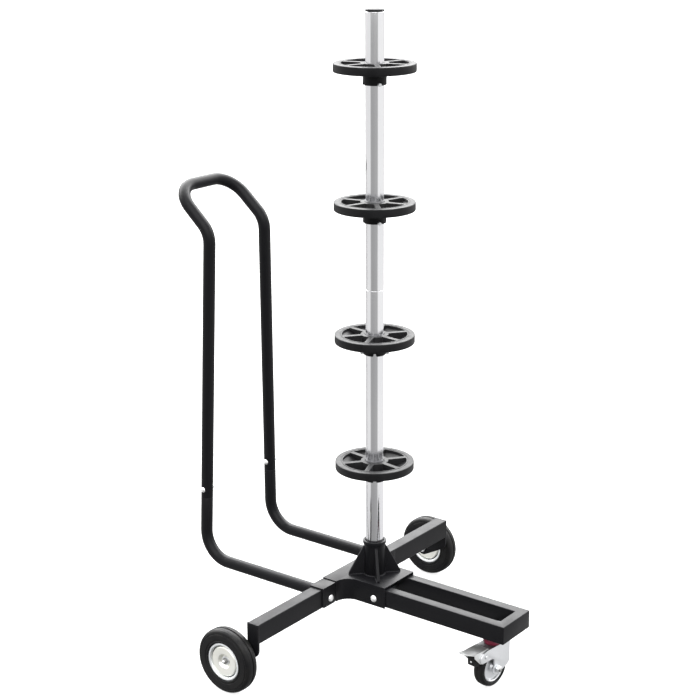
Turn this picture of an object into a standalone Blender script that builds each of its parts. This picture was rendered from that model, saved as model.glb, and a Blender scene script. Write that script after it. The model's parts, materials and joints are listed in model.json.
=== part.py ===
"""Wheel dolly: a chrome post with four support discs on a three-wheeled welded base.

Metres, +Z up. The origin lies on the floor in the middle of the footprint. The fork and its
swivel caster point to -Y, the push handle stands at +Y and the side arms run along X.
"""
import math

import bmesh
import bpy
from mathutils import Matrix, Vector

# Clearances and mesh fineness
FIT = 0.0003
SHEET = 0.002
WELD = 0.00001
SMALL = 12
ROUND = 24
TYRE = 32

# M8 fasteners
AXLE_RADIUS = 0.004
NUT_RADIUS = 0.0075
NUT_HEIGHT = 0.0065
HEX_HEAD = 0.0053
DOME_RADIUS = 0.0068
DOME_HEIGHT = 0.0042
THREAD_END = 0.0025

# Post and its support discs
POST_Y = -0.0535
POST_RADIUS = 0.017
POST_WALL = 0.0015
POST_SEAM_Z = 0.712
POST_TOP_Z = 1.2217
CAP_HEIGHT = 0.0045
CAP_PLUG = 0.012
COUPLER_HALF = 0.060
DISC_RADIUS = 0.075
FIRST_DISC_Z = 0.376
DISC_PITCH = 0.2505
DISC_RIM = 0.0155
DISC_SKIN = 0.004
DISH_FOOT = 0.0235
HUB_RADIUS = 0.0215
HUB_DEPTH = 0.039
SPOKES = 6
SPOKE_HALF = 0.0045
WINDOW_INNER = 0.026
WINDOW_OUTER = 0.061
POCKET_PLAY = 0.002
POCKET_RIM = 0.0048
POCKET_HUB = 0.0198
DISC_TURNS = (22.0, 22.0, 42.6, 42.6)
PIN_TURNS = (127.0, 127.0, 57.6, 57.6)
NOTCH_TURN = 15.0
PIN_RADIUS = 0.003
PIN_LENGTH = 0.054
PIN_DROP = 0.0365

# Hub bracket and the socket welded to it
PLATE_TOP_Z = 0.1427
SKIRT_Z = 0.0999
WING_X = 0.077
WING_FRONT = 0.0353
WING_BACK = 0.0672
NOSE_X = 0.0482
NOSE_FRONT = -0.0586
SOCKET_TOP_Z = 0.213
SOCKET_RADIUS = 0.02075
COLLAR_RADIUS = 0.0225
COLLAR_HEIGHT = 0.006
GUSSET_REACH = 0.0506
GUSSET_TOP_Z = 0.203
GUSSET_SHEET = 0.005
GUSSET_TOE = 0.003

# Cross tube, wheel brackets and front fork
ARM_Y = POST_Y + 0.0508
ARM_HALF_LENGTH = 0.3032
ARM_WIDTH = 0.026
ARM_HEIGHT = 0.038
ARM_BOTTOM_Z = 0.1006
BRACKET_SHEET = 0.004
FORK_HALF = 0.0459
FORK_BAR = 0.020
FORK_BOTTOM_Z = 0.1022
FORK_HEIGHT = 0.035
FORK_END_Y = POST_Y - 0.3235
FORK_BACK_Y = ARM_Y - ARM_WIDTH / 2 - 0.0006
FORK_BOLT_Y = POST_Y - 0.0334
FORK_BOLT_Z = 0.1147
MOUNT_PLATE = 0.004
MOUNT_REACH = 0.026

# Rear wheels
WHEEL_RADIUS = 0.0625
WHEEL_WIDTH = 0.030
WHEEL_X = 0.328
AXLE_Y = POST_Y + 0.0946
RIM_RADIUS = 0.0365
HUB_IN = 0.0136
HUB_OUT = 0.0048
BUSH_RADIUS = 0.0067
WASHER = 0.0016
WASHER_RADIUS = 0.0085
SPACER_RADIUS = 0.0080
AXLE_END_RADIUS = 0.003
AXLE_NUT_RADIUS = 0.0058
AXLE_NUT_HEIGHT = 0.005

# Push handle and the saddles that hold it on the cross tube
TUBE_RADIUS = 0.012
TUBE_WALL = 0.0015
SADDLE_IN_X = 0.080
SADDLE_OUT_X = 0.118
SADDLE_SHEET = 0.0025
SADDLE_BOLT_X = 0.095
SADDLE_BOLT_Z = 0.1145
HANDLE_X = 0.1008
HANDLE_Z = 0.1243
FOOT_CORNER = Vector((0.1022, POST_Y + 0.346, HANDLE_Z))
LEAN_CORNER = Vector((0.0813, POST_Y + 0.3315, 0.7884))
GRIP_CORNER = Vector((0.0797, POST_Y + 0.4185, 0.8656))
FOOT_BEND = 0.056
LEAN_BEND = 0.0486
GRIP_BEND = 0.0509
HANDLE_SEAM_Z = 0.250
SPIGOT_LENGTH = 0.042
SPIGOT_PLAY = 0.0008
HANDLE_BOLT_Z = 0.269
HANDLE_BOLT_RADIUS = 0.003
HANDLE_NUT_RADIUS = 0.0055
HANDLE_NUT_HEIGHT = 0.005
HANDLE_DOME = 0.0032

# Swivel caster: X runs forward from the swivel axis, the wheel trails behind it
CASTER_Y = POST_Y - 0.283
CASTER_TURN = -6.6
CASTER_RADIUS = 0.0375
CASTER_WIDTH = 0.023
TRAIL = 0.0204
CASTER_RIM = 0.028
CASTER_BUSH_RADIUS = 0.006
YOKE_HALF = 0.017
YOKE_SHEET = 0.0025
YOKE_CORNER = 0.009
YOKE_TOP_Z = 0.0845
YOKE_FRONT = 0.0221
YOKE_BACK = -0.0684
CROWN_BACK = -0.0424
SEAL_RADIUS = 0.019
SEAL_REACH = 0.0154
SEAL_TOP_Z = 0.0985
STEM_RADIUS = 0.006
RACE_FLANGE = 0.022
RACE_NECK = 0.0125
PIVOT_X = -0.0524
PIVOT_Z = 0.073
PIVOT_RADIUS = 0.0025
PEDAL_HALF = 0.0142
PEDAL_TIP = -0.1044

BLACK_COAT = ((0.012, 0.012, 0.013), 0.42, 0.0)
CHROME = ((0.78, 0.78, 0.79), 0.12, 1.0)
ZINC = ((0.68, 0.69, 0.70), 0.30, 1.0)
BLACK_PLASTIC = ((0.016, 0.016, 0.017), 0.55, 0.0)
BLACK_RUBBER = ((0.014, 0.014, 0.014), 0.75, 0.0)
MAROON_PLASTIC = ((0.13, 0.012, 0.025), 0.50, 0.0)

QUARTER = math.pi / 2
AROUND_X = Matrix.Rotation(QUARTER, 4, "Y")
SIDES = ((-1, "left"), (1, "right"))


def clear_scene():
    for obj in list(bpy.data.objects):
        bpy.data.objects.remove(obj)


def link(obj):
    """Put an object in the dolly's collection."""
    bpy.data.collections["wheel_dolly"].objects.link(obj)
    return obj


def object_from(name, bm):
    """New mesh object from a finished bmesh."""
    bmesh.ops.recalc_face_normals(bm, faces=bm.faces)
    mesh = bpy.data.meshes.new(name)
    bm.to_mesh(mesh)
    bm.free()
    return link(bpy.data.objects.new(name, mesh))


def finish(obj, look, parent=None, at=(0, 0, 0), turn=None):
    """Give a piece its material, smooth round faces and its place."""
    colour, roughness, metallic = look
    made = bpy.data.materials.new(obj.name + "_finish")
    made.use_nodes = True
    shader = made.node_tree.nodes["Principled BSDF"]
    shader.inputs["Base Color"].default_value = (*colour, 1.0)
    shader.inputs["Roughness"].default_value = roughness
    shader.inputs["Metallic"].default_value = metallic
    obj.data.materials.clear()
    obj.data.materials.append(made)
    obj.data.shade_smooth()
    obj.data.set_sharp_from_angle(angle=math.radians(35))
    obj.parent = parent
    place = Matrix.Translation(at)
    obj.matrix_local = place @ turn if turn else place
    return obj


def axis_empty(name, at, turn=None, parent=None):
    """Empty that marks a joint axis and carries the pieces that turn on it."""
    empty = link(bpy.data.objects.new(name, None))
    empty.empty_display_size = 0.02
    empty.parent = parent
    place = Matrix.Translation(at)
    empty.matrix_local = place @ turn if turn else place
    return empty


def bake(obj):
    """Apply an object's modifiers by keeping its evaluated mesh."""
    bpy.context.view_layer.update()
    graph = bpy.context.evaluated_depsgraph_get()
    mesh = bpy.data.meshes.new_from_object(obj.evaluated_get(graph), depsgraph=graph)
    obj.modifiers.clear()
    obj.data = mesh
    return obj


def combine(target, tool, operation):
    """Boolean of two solids that are both still at the place where they were built."""
    modifier = target.modifiers.new(operation.title(), "BOOLEAN")
    modifier.operation = operation
    modifier.solver = "EXACT"
    modifier.object = tool
    bake(target)
    bpy.data.objects.remove(tool)
    return target


def moved(obj, at=(0, 0, 0), turn=None):
    """Place a tool or a sub-shape before it is combined."""
    obj.matrix_world = Matrix.Translation(at) @ (turn or Matrix())
    return obj


def block(name, low, high):
    """Solid box between two opposite corners."""
    low, high = Vector(low), Vector(high)
    bm = bmesh.new()
    bmesh.ops.create_cube(bm, size=1.0)
    bmesh.ops.scale(bm, vec=high - low, verts=bm.verts)
    bmesh.ops.translate(bm, vec=(high + low) / 2, verts=bm.verts)
    return object_from(name, bm)


def rod(name, radius, low, high, sides=ROUND):
    """Solid prism or cylinder about Z between two heights."""
    bm = bmesh.new()
    bmesh.ops.create_cone(
        bm, cap_ends=True, segments=sides, radius1=radius, radius2=radius, depth=high - low
    )
    bmesh.ops.translate(bm, vec=(0, 0, (high + low) / 2), verts=bm.verts)
    return object_from(name, bm)


def turned(name, profile, steps=ROUND):
    """Solid turned about Z from (radius, height) points that run down its outer side."""
    points = [Vector((radius, 0, height)) for radius, height in profile]
    edges = [(i, i + 1) for i in range(len(points) - 1)]
    if profile[0][0] > 0:
        edges.append((len(points) - 1, 0))
    mesh = bpy.data.meshes.new(name)
    mesh.from_pydata(points, edges, [])
    obj = link(bpy.data.objects.new(name, mesh))
    screw = obj.modifiers.new("Turn", "SCREW")
    screw.steps = steps
    screw.render_steps = steps
    screw.use_merge_vertices = True
    screw.merge_threshold = WELD
    return bake(obj)


def mesh_of_curve(curve_obj):
    """Turn a curve object into a welded mesh object of the same name."""
    bpy.context.view_layer.update()
    graph = bpy.context.evaluated_depsgraph_get()
    mesh = bpy.data.meshes.new_from_object(curve_obj.evaluated_get(graph), depsgraph=graph)
    bm = bmesh.new()
    bm.from_mesh(mesh)
    bmesh.ops.remove_doubles(bm, verts=bm.verts, dist=WELD)
    name = curve_obj.name
    bpy.data.objects.remove(curve_obj)
    bpy.data.meshes.remove(mesh)
    return object_from(name, bm)


def flat(name, outlines, low, high):
    """Plate between two heights with one or more closed outlines in XY."""
    curve = bpy.data.curves.new(name, "CURVE")
    curve.dimensions = "2D"
    curve.fill_mode = "BOTH"
    curve.extrude = (high - low) / 2
    for outline in outlines:
        spline = curve.splines.new("POLY")
        spline.points.add(len(outline) - 1)
        for point, (x, y) in zip(spline.points, outline):
            point.co = (x, y, 0, 1)
        spline.use_cyclic_u = True
    plate = mesh_of_curve(link(bpy.data.objects.new(name, curve)))
    plate.data.transform(Matrix.Translation((0, 0, (high + low) / 2)))
    return plate


def arc(centre, radius, start, end, count):
    """Points along an arc, angles in degrees, both ends included."""
    steps = [math.radians(start + (end - start) * i / (count - 1)) for i in range(count)]
    return [(centre[0] + radius * math.cos(a), centre[1] + radius * math.sin(a)) for a in steps]


def rounded_corner(before, corner, after, radius, count=6):
    """Points of a fillet between two straight runs of a 3-D path."""
    back = (before - corner).normalized()
    ahead = (after - corner).normalized()
    half = back.angle(ahead) / 2
    inset = radius / math.tan(half)
    centre = corner + (back + ahead).normalized() * radius / math.sin(half)
    start = (corner + back * inset - centre).normalized()
    end = (corner + ahead * inset - centre).normalized()
    return [centre + start.slerp(end, i / count) * radius for i in range(count + 1)]


def tube_along(name, stations, radius, wall):
    """Open-ended tube; each station is a point and its radius factor."""
    curve = bpy.data.curves.new(name, "CURVE")
    curve.dimensions = "3D"
    curve.bevel_depth = radius
    curve.bevel_resolution = 2
    curve.use_fill_caps = False
    spline = curve.splines.new("POLY")
    spline.points.add(len(stations) - 1)
    for point, (place, factor) in zip(spline.points, stations):
        point.co = (*place, 1)
        point.radius = factor
    tube = mesh_of_curve(link(bpy.data.objects.new(name, curve)))
    shell = tube.modifiers.new("Wall", "SOLIDIFY")
    shell.thickness = wall
    shell.offset = -1
    return bake(tube)


def ring(name, outer, bore, half, steps=16):
    """Plain ring about Z, half as high on each side of the origin."""
    return turned(name, [(outer, half), (outer, -half), (bore, -half), (bore, half)], steps)


def hex_bolt(name, radius, length, head_radius, head_height):
    """Bolt along +Z with the underside of its hexagon head at Z = 0."""
    shaft = rod(name, radius, -head_height / 2, length, SMALL)
    return combine(shaft, rod("head", head_radius, -head_height, 0, 6), "UNION")


def dome_bolt(name, radius, length, head_radius, head_height):
    """Bolt along +Z with the underside of its domed head at Z = 0."""
    dome = arc((0, 0), 1.0, 180, 270, 4)
    head = [(head_radius * -x, head_height * y) for x, y in dome]
    shaft = [(0, length), (radius, length), (radius, 0)]
    return turned(name, [*shaft, *head[:-1], (0, -head_height)], SMALL)


def nut(name, bore, radius, low, high):
    """Hexagon nut about Z."""
    body = rod(name, radius, low, high, 6)
    return combine(body, rod("bore", bore, low - 0.001, high + 0.001, SMALL), "DIFFERENCE")


def drill(target, radius, at, turn, half_length):
    """Round hole through a piece."""
    tool = moved(rod("drill", radius, -half_length, half_length, SMALL), at, turn)
    return combine(target, tool, "DIFFERENCE")


def pin_height(number):
    """Height of the cross pin under a disc."""
    return FIRST_DISC_Z + number * DISC_PITCH - PIN_DROP


def across(degrees):
    """Rotation that lays the Z axis flat and points it along a compass angle."""
    return Matrix.Rotation(math.radians(degrees), 4, "Z") @ Matrix.Rotation(QUARTER, 4, "Y")


def build_hub_bracket():
    """T-shaped cover with skirts, open where the tubes enter it."""

    def tee(name, inset, reach, front, low, high):
        wing_radius = WING_X - NOSE_X + inset
        side = [(reach, WING_BACK - inset)]
        side += [(reach, WING_FRONT + inset)] if reach > WING_X else []
        side += arc((WING_X, WING_FRONT - WING_X + NOSE_X), wing_radius, 90, 180, 8)
        side.append((NOSE_X - inset, front))
        other = [(-x, y) for x, y in reversed(side)]
        return flat(name, [side + other], low, high)

    cover = tee("hub_bracket", 0, WING_X, NOSE_FRONT, SKIRT_Z, PLATE_TOP_Z)
    room = tee("room", SHEET, WING_X + 0.02, NOSE_FRONT - 0.02, 0.08, PLATE_TOP_Z - SHEET)
    combine(cover, room, "DIFFERENCE")
    drill(cover, AXLE_RADIUS + FIT, (0, FORK_BOLT_Y - POST_Y, FORK_BOLT_Z), AROUND_X, 0.06)
    finish(cover, BLACK_COAT, at=(0, POST_Y, 0))


def build_post_socket():
    """Sleeve with a collar at its mouth and four gussets on the diagonals."""
    low = PLATE_TOP_Z + FIT
    bore = POST_RADIUS + FIT
    lip = SOCKET_TOP_Z - COLLAR_HEIGHT
    sleeve = turned("post_socket", [
        (COLLAR_RADIUS - 0.001, SOCKET_TOP_Z), (COLLAR_RADIUS, SOCKET_TOP_Z - 0.001),
        (COLLAR_RADIUS, lip), (SOCKET_RADIUS, lip - 0.002), (SOCKET_RADIUS, low),
        (bore, low), (bore, SOCKET_TOP_Z),
    ])
    middle = (bore + SOCKET_RADIUS) / 2
    toe = low + GUSSET_TOE
    web = [(middle, low), (GUSSET_REACH, low), (GUSSET_REACH, toe), (middle, GUSSET_TOP_Z)]
    for corner in range(4):
        gusset = flat("gusset", [web], -GUSSET_SHEET / 2, GUSSET_SHEET / 2)
        stand = Matrix.Rotation(QUARTER, 4, "X")
        heading = Matrix.Rotation(math.radians(45 + 90 * corner), 4, "Z")
        combine(sleeve, moved(gusset, turn=heading @ stand), "UNION")
    finish(sleeve, BLACK_COAT, at=(0, POST_Y, 0))


def build_post():
    """Two chrome tubes joined end to end on an inner sleeve, with a plug on top."""
    inner = POST_RADIUS - POST_WALL
    spans = (
        ("lower_post", PLATE_TOP_Z + 2 * FIT, POST_SEAM_Z, (0, 1)),
        ("upper_post", POST_SEAM_Z + FIT, POST_TOP_Z - CAP_HEIGHT - FIT, (2, 3)),
    )
    for name, low, high, pins in spans:
        tube = turned(name, [(POST_RADIUS, high), (POST_RADIUS, low), (inner, low), (inner, high)])
        for number in pins:
            at = (0, 0, pin_height(number))
            drill(tube, PIN_RADIUS + FIT, at, across(PIN_TURNS[number]), 0.03)
        finish(tube, CHROME, at=(0, POST_Y, 0))
    outer = inner - FIT
    coupler = ring("post_coupler", outer, outer - POST_WALL, COUPLER_HALF, ROUND)
    finish(coupler, ZINC, at=(0, POST_Y, POST_SEAM_Z))
    plug = turned("post_cap", [
        (0, 0), (POST_RADIUS - 0.001, 0), (POST_RADIUS, -0.001), (POST_RADIUS, -CAP_HEIGHT),
        (outer, -CAP_HEIGHT), (outer, -CAP_HEIGHT - CAP_PLUG), (0, -CAP_HEIGHT - CAP_PLUG),
    ])
    finish(plug, BLACK_PLASTIC, at=(0, POST_Y, POST_TOP_Z))


def disc_window(number):
    """Outline of one pocket between two spokes."""
    middle = (number + 0.5) * 360 / SPOKES
    wide = 180 / SPOKES - math.degrees(math.asin(SPOKE_HALF / WINDOW_OUTER))
    narrow = 180 / SPOKES - math.degrees(math.asin(SPOKE_HALF / WINDOW_INNER))
    outer = arc((0, 0), WINDOW_OUTER, middle - wide, middle + wide, 5)
    return outer + arc((0, 0), WINDOW_INNER, middle + narrow, middle - narrow, 3)


def build_discs():
    """Moulded dished discs: rim, six spokes over blind pockets, and a notched hub."""
    bore = POST_RADIUS + FIT
    disc = turned("disc_1", [
        (DISC_RADIUS - 0.001, 0), (DISC_RADIUS, -0.001), (DISC_RADIUS, -DISC_RIM),
        (DISC_RADIUS - 0.003, -DISC_RIM), (DISC_RADIUS - 0.003, -DISC_SKIN),
        (HUB_RADIUS, -DISH_FOOT), (HUB_RADIUS, -HUB_DEPTH), (bore, -HUB_DEPTH), (bore, 0),
    ])
    outer, inner = WINDOW_OUTER + POCKET_PLAY, WINDOW_INNER - POCKET_PLAY
    pockets = turned("pockets", [
        (outer, 0.005), (outer, -POCKET_RIM), (inner, -POCKET_HUB), (inner, 0.005),
    ])
    windows = [disc_window(number) for number in range(SPOKES)]
    combine(pockets, flat("windows", windows, -DISH_FOOT, 0.003), "INTERSECT")
    combine(disc, pockets, "DIFFERENCE")
    slot = PIN_RADIUS + FIT
    arch = [(-slot, -0.008), (slot, -0.008), *arc((0, 0), slot, 0, 180, 7)]
    for turn in (NOTCH_TURN, NOTCH_TURN + 90):
        tool = flat("notch", [arch], -0.03, 0.03)
        heading = Matrix.Rotation(math.radians(turn), 4, "Z")
        pose = heading @ Matrix.Rotation(QUARTER, 4, "Z") @ Matrix.Rotation(QUARTER, 4, "X")
        combine(disc, moved(tool, (0, 0, -PIN_DROP), pose), "DIFFERENCE")
    for number, turn in enumerate(DISC_TURNS):
        name = f"disc_{number + 1}"
        copy = disc if number == 0 else link(bpy.data.objects.new(name, disc.data.copy()))
        heading = Matrix.Rotation(math.radians(turn), 4, "Z")
        top = FIRST_DISC_Z + number * DISC_PITCH
        finish(copy, BLACK_PLASTIC, at=(0, POST_Y, top), turn=heading)
        pin = rod(f"disc_pin_{number + 1}", PIN_RADIUS, -PIN_LENGTH / 2, PIN_LENGTH / 2, SMALL)
        finish(pin, ZINC, at=(0, POST_Y, pin_height(number)), turn=across(PIN_TURNS[number]))


def build_cross_tube():
    """Rectangular tube through the hub bracket that carries both rear wheels."""
    half = ARM_HALF_LENGTH
    wide = ARM_WIDTH / 2
    tall = ARM_HEIGHT / 2
    tube = block("cross_tube", (-half, -wide, -tall), (half, wide, tall))
    hollow = block(
        "hollow", (-half - 0.01, SHEET - wide, SHEET - tall), (half + 0.01, wide - SHEET, tall - SHEET)
    )
    combine(tube, hollow, "DIFFERENCE")
    centre_z = ARM_BOTTOM_Z + tall
    for side, _ in SIDES:
        at = (side * SADDLE_BOLT_X, -wide, SADDLE_BOLT_Z - centre_z)
        drill(tube, AXLE_RADIUS + FIT, at, Matrix.Rotation(QUARTER, 4, "X"), 0.006)
    finish(tube, BLACK_COAT, at=(0, ARM_Y, centre_z))


def build_wheel_brackets():
    """End plates that drop from the arm and sweep back to carry the wheel axles."""
    front = -ARM_WIDTH / 2
    top = ARM_BOTTOM_Z + ARM_HEIGHT
    drop = AXLE_Y - ARM_Y
    outline = [(-front, top), (front, top)]
    outline += arc((front + 0.018, 0.088), 0.018, 180, 240, 5)
    outline += arc((drop, WHEEL_RADIUS), 0.014, 245, 415, 9)
    outline.append((-front, ARM_BOTTOM_Z))
    for side, label in SIDES:
        stand = Matrix(((0, 0, 1, 0), (1, 0, 0, 0), (0, 1, 0, 0), (0, 0, 0, 1)))
        plate = flat(f"wheel_bracket_{label}", [outline], -BRACKET_SHEET / 2, BRACKET_SHEET / 2)
        drill(plate, AXLE_RADIUS + FIT, (drop, WHEEL_RADIUS, 0), Matrix(), 0.01)
        offset = ARM_HALF_LENGTH + FIT + BRACKET_SHEET / 2
        finish(plate, BLACK_COAT, at=(side * offset, ARM_Y, 0), turn=stand)


def build_tyre(name, radius, width, seat, parent):
    """Solid rubber tyre with rounded shoulders and a groove round the middle of its tread."""
    half = width / 2
    groove = 0.0012
    upper = [
        (seat, half - 0.002), (seat + 0.004, half), (radius - 0.008, half * 0.97),
        (radius - 0.003, half * 0.82), (radius - 0.0006, half * 0.5), (radius, groove),
    ]
    lower = [(r, -h) for r, h in reversed(upper)]
    tyre = turned(name, [*upper, (radius - groove, 0), *lower], TYRE)
    return finish(tyre, BLACK_RUBBER, parent=parent)


def build_rear_wheels():
    """Rubber tyre on a dished rim with a bush, held by a stepped axle bolt and its nut."""
    bore = BUSH_RADIUS + FIT
    outside = [
        (RIM_RADIUS, 0.0125), (0.0318, 0.0125), (0.0307, 0.0072), (0.0295, 0.0072),
        (0.0283, 0.0110), (0.0140, 0.0102), (0.0102, HUB_OUT), (bore, HUB_OUT),
        (bore, 0.0026), (0.0112, 0.0026), (0.0150, 0.0080), (0.0268, 0.0086),
        (0.0284, 0.0049), (0.0318, 0.0049), (0.0340, 0.0105),
    ]
    inside = [
        (RIM_RADIUS, -0.0125), (0.0318, -0.0125), (0.0307, -0.0072), (0.0295, -0.0072),
        (0.0283, -0.0110), (0.0140, -0.0102), (0.0105, -HUB_IN), (bore, -HUB_IN),
        (bore, -0.0080), (0.0268, -0.0086), (0.0284, -0.0049), (0.0318, -0.0049),
        (0.0340, -0.0105),
    ]
    section = [*inside, *reversed(outside)]
    bush_bore = AXLE_RADIUS + FIT
    end_bore = AXLE_END_RADIUS + FIT
    plate_in = ARM_HALF_LENGTH + FIT
    plate_out = plate_in + BRACKET_SHEET
    for side, label in SIDES:
        outward = Matrix.Rotation(side * QUARTER, 4, "Y")
        axle = axis_empty(f"rear_axle_{label}", (side * WHEEL_X, AXLE_Y, WHEEL_RADIUS), outward)
        build_tyre(f"tyre_{label}", WHEEL_RADIUS, WHEEL_WIDTH, RIM_RADIUS + FIT, axle)
        finish(turned(f"rim_{label}", section), ZINC, parent=axle)
        bush = ring(f"wheel_bush_{label}", BUSH_RADIUS, bush_bore, (HUB_OUT + HUB_IN) / 2)
        finish(bush, BLACK_PLASTIC, parent=axle, at=(0, 0, (HUB_OUT - HUB_IN) / 2))
        washer = ring(f"axle_washer_{label}", WASHER_RADIUS, end_bore, WASHER / 2)
        finish(washer, ZINC, parent=axle, at=(0, 0, HUB_OUT + FIT + WASHER / 2))
        reach = (WHEEL_X - HUB_IN - plate_out) / 2 - FIT
        spacer = ring(f"axle_spacer_{label}", SPACER_RADIUS, bush_bore, reach)
        finish(spacer, ZINC, parent=axle, at=(0, 0, -HUB_IN - FIT - reach))
        head_at = plate_in - FIT - WHEEL_X
        low = HUB_OUT + WASHER + 2 * FIT
        shoulder = HUB_OUT + FIT / 2 - head_at
        bolt = hex_bolt(f"axle_bolt_{label}", AXLE_RADIUS, shoulder, NUT_RADIUS, HEX_HEAD)
        tip = low + AXLE_NUT_HEIGHT + THREAD_END - head_at
        combine(bolt, rod("end", AXLE_END_RADIUS, shoulder - WASHER, tip, SMALL), "UNION")
        finish(bolt, ZINC, parent=axle, at=(0, 0, head_at))
        high = low + AXLE_NUT_HEIGHT
        finish(nut(f"axle_nut_{label}", end_bore, AXLE_NUT_RADIUS, low, high), ZINC, parent=axle)


def build_front_frame():
    """U-shaped tube frame with the caster's mounting plate between its bars."""
    out = FORK_HALF
    inn = FORK_HALF - FORK_BAR
    back = FORK_BACK_Y
    end = FORK_END_Y
    low = FORK_BOTTOM_Z
    high = low + FORK_HEIGHT

    def horseshoe(name, inset, rear, bottom, top):
        outline = [
            (out - inset, rear), (out - inset, end + inset),
            (inset - out, end + inset), (inset - out, rear),
            (-inn - inset, rear), (-inn - inset, end + FORK_BAR - inset),
            (inn + inset, end + FORK_BAR - inset), (inn + inset, rear),
        ]
        return flat(name, [outline], bottom, top)

    frame = horseshoe("front_frame", 0, back, low, high)
    combine(frame, horseshoe("hollow", SHEET, back + 0.01, low + SHEET, high - SHEET), "DIFFERENCE")
    lap = SHEET / 2
    corner = (-inn - lap, end + FORK_BAR - lap, low + FIT)
    opposite = (inn + lap, CASTER_Y + MOUNT_REACH, low + MOUNT_PLATE)
    combine(frame, block("plate", corner, opposite), "UNION")
    drill(frame, STEM_RADIUS + FIT, (0, CASTER_Y, low), Matrix(), 0.01)
    drill(frame, AXLE_RADIUS + FIT, (0, FORK_BOLT_Y, FORK_BOLT_Z), AROUND_X, 0.06)
    finish(frame, BLACK_COAT)
    head_x = NOSE_X + FIT
    length = 2 * head_x + NUT_HEIGHT + THREAD_END
    bolt = dome_bolt("fork_bolt", AXLE_RADIUS, length, DOME_RADIUS, DOME_HEIGHT)
    finish(bolt, ZINC, at=(-head_x, FORK_BOLT_Y, FORK_BOLT_Z), turn=AROUND_X)
    fork_nut = nut("fork_nut", AXLE_RADIUS + FIT, NUT_RADIUS, head_x, head_x + NUT_HEIGHT)
    finish(fork_nut, ZINC, at=(0, FORK_BOLT_Y, FORK_BOLT_Z), turn=AROUND_X)


def build_saddles():
    """U-shaped brackets over the cross tube at the foot of the handle, each with its bolt."""
    room = ARM_WIDTH / 2 + FIT
    outer = room + SADDLE_SHEET
    ceiling = ARM_BOTTOM_Z + ARM_HEIGHT + FIT
    half = (SADDLE_OUT_X - SADDLE_IN_X) / 2
    lengthwise = Matrix.Rotation(-QUARTER, 4, "X")
    for side, label in SIDES:
        middle = side * (SADDLE_IN_X + SADDLE_OUT_X) / 2
        top = ceiling + SADDLE_SHEET
        saddle = block(f"saddle_{label}", (-half, -outer, ARM_BOTTOM_Z), (half, outer, top))
        combine(saddle, block("room", (-0.03, -room, 0.05), (0.03, room, ceiling)), "DIFFERENCE")
        bolt_x = side * SADDLE_BOLT_X
        drill(saddle, AXLE_RADIUS + FIT, (bolt_x - middle, -room, SADDLE_BOLT_Z), lengthwise, 0.006)
        finish(saddle, BLACK_COAT, at=(middle, ARM_Y, 0))
        bolt = dome_bolt(f"saddle_bolt_{label}", AXLE_RADIUS, 0.014, DOME_RADIUS, DOME_HEIGHT)
        finish(bolt, ZINC, at=(bolt_x, ARM_Y - outer - FIT, SADDLE_BOLT_Z), turn=lengthwise)
        inside = ARM_WIDTH / 2 - SHEET - FIT
        name = f"saddle_nut_{label}"
        captive = nut(name, AXLE_RADIUS + FIT, NUT_RADIUS, -inside, NUT_HEIGHT - inside)
        finish(captive, ZINC, at=(bolt_x, ARM_Y, SADDLE_BOLT_Z), turn=lengthwise)


def on_upright(height):
    """Point of the right upright's centre line at a height."""
    share = (height - FOOT_CORNER.z) / (LEAN_CORNER.z - FOOT_CORNER.z)
    return FOOT_CORNER.lerp(LEAN_CORNER, share)


def flipped(point, side):
    return Vector((side * point.x, point.y, point.z))


def build_handle():
    """Two bent foot tubes with reduced ends that plug into one bent top tube."""
    start = Vector((HANDLE_X, ARM_Y + ARM_WIDTH / 2 + 2 * FIT + SADDLE_SHEET, HANDLE_Z))
    seam = on_upright(HANDLE_SEAM_Z)
    rise = (LEAN_CORNER - FOOT_CORNER).normalized()
    slim = (TUBE_RADIUS - TUBE_WALL - SPIGOT_PLAY) / TUBE_RADIUS
    foot = [start, *rounded_corner(start, FOOT_CORNER, seam, FOOT_BEND), seam]
    bolt_at = on_upright(HANDLE_BOLT_Z)
    for side, label in SIDES:
        stations = [(flipped(point, side), 1.0) for point in foot]
        stations.append((flipped(seam + rise * FIT, side), slim))
        stations.append((flipped(seam + rise * SPIGOT_LENGTH, side), slim))
        tube = tube_along(f"handle_foot_{label}", stations, TUBE_RADIUS, TUBE_WALL)
        drill(tube, HANDLE_BOLT_RADIUS + FIT, flipped(bolt_at, side), AROUND_X, 0.02)
        finish(tube, BLACK_COAT)
    right = [seam + rise * 2 * FIT]
    right += rounded_corner(right[0], LEAN_CORNER, GRIP_CORNER, LEAN_BEND)
    middle = Vector((0, GRIP_CORNER.y, GRIP_CORNER.z))
    right += rounded_corner(LEAN_CORNER, GRIP_CORNER, middle, GRIP_BEND)
    path = right + [flipped(point, -1) for point in reversed(right)]
    top = tube_along("handle_top", [(point, 1.0) for point in path], TUBE_RADIUS, TUBE_WALL)
    for side, label in SIDES:
        at = flipped(bolt_at, side)
        drill(top, HANDLE_BOLT_RADIUS + FIT, at, AROUND_X, 0.02)
        seat = TUBE_RADIUS + 2 * FIT
        width = HANDLE_NUT_RADIUS
        length = 2 * seat + HANDLE_NUT_HEIGHT + THREAD_END
        bolt = dome_bolt(f"handle_bolt_{label}", HANDLE_BOLT_RADIUS, length, width, HANDLE_DOME)
        finish(bolt, ZINC, at=at - Vector((seat, 0, 0)), turn=AROUND_X)
        high = seat + HANDLE_NUT_HEIGHT
        lock = nut(f"handle_nut_{label}", HANDLE_BOLT_RADIUS + FIT, width, seat, high)
        finish(lock, ZINC, at=at, turn=AROUND_X)
    finish(top, BLACK_COAT)


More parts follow.
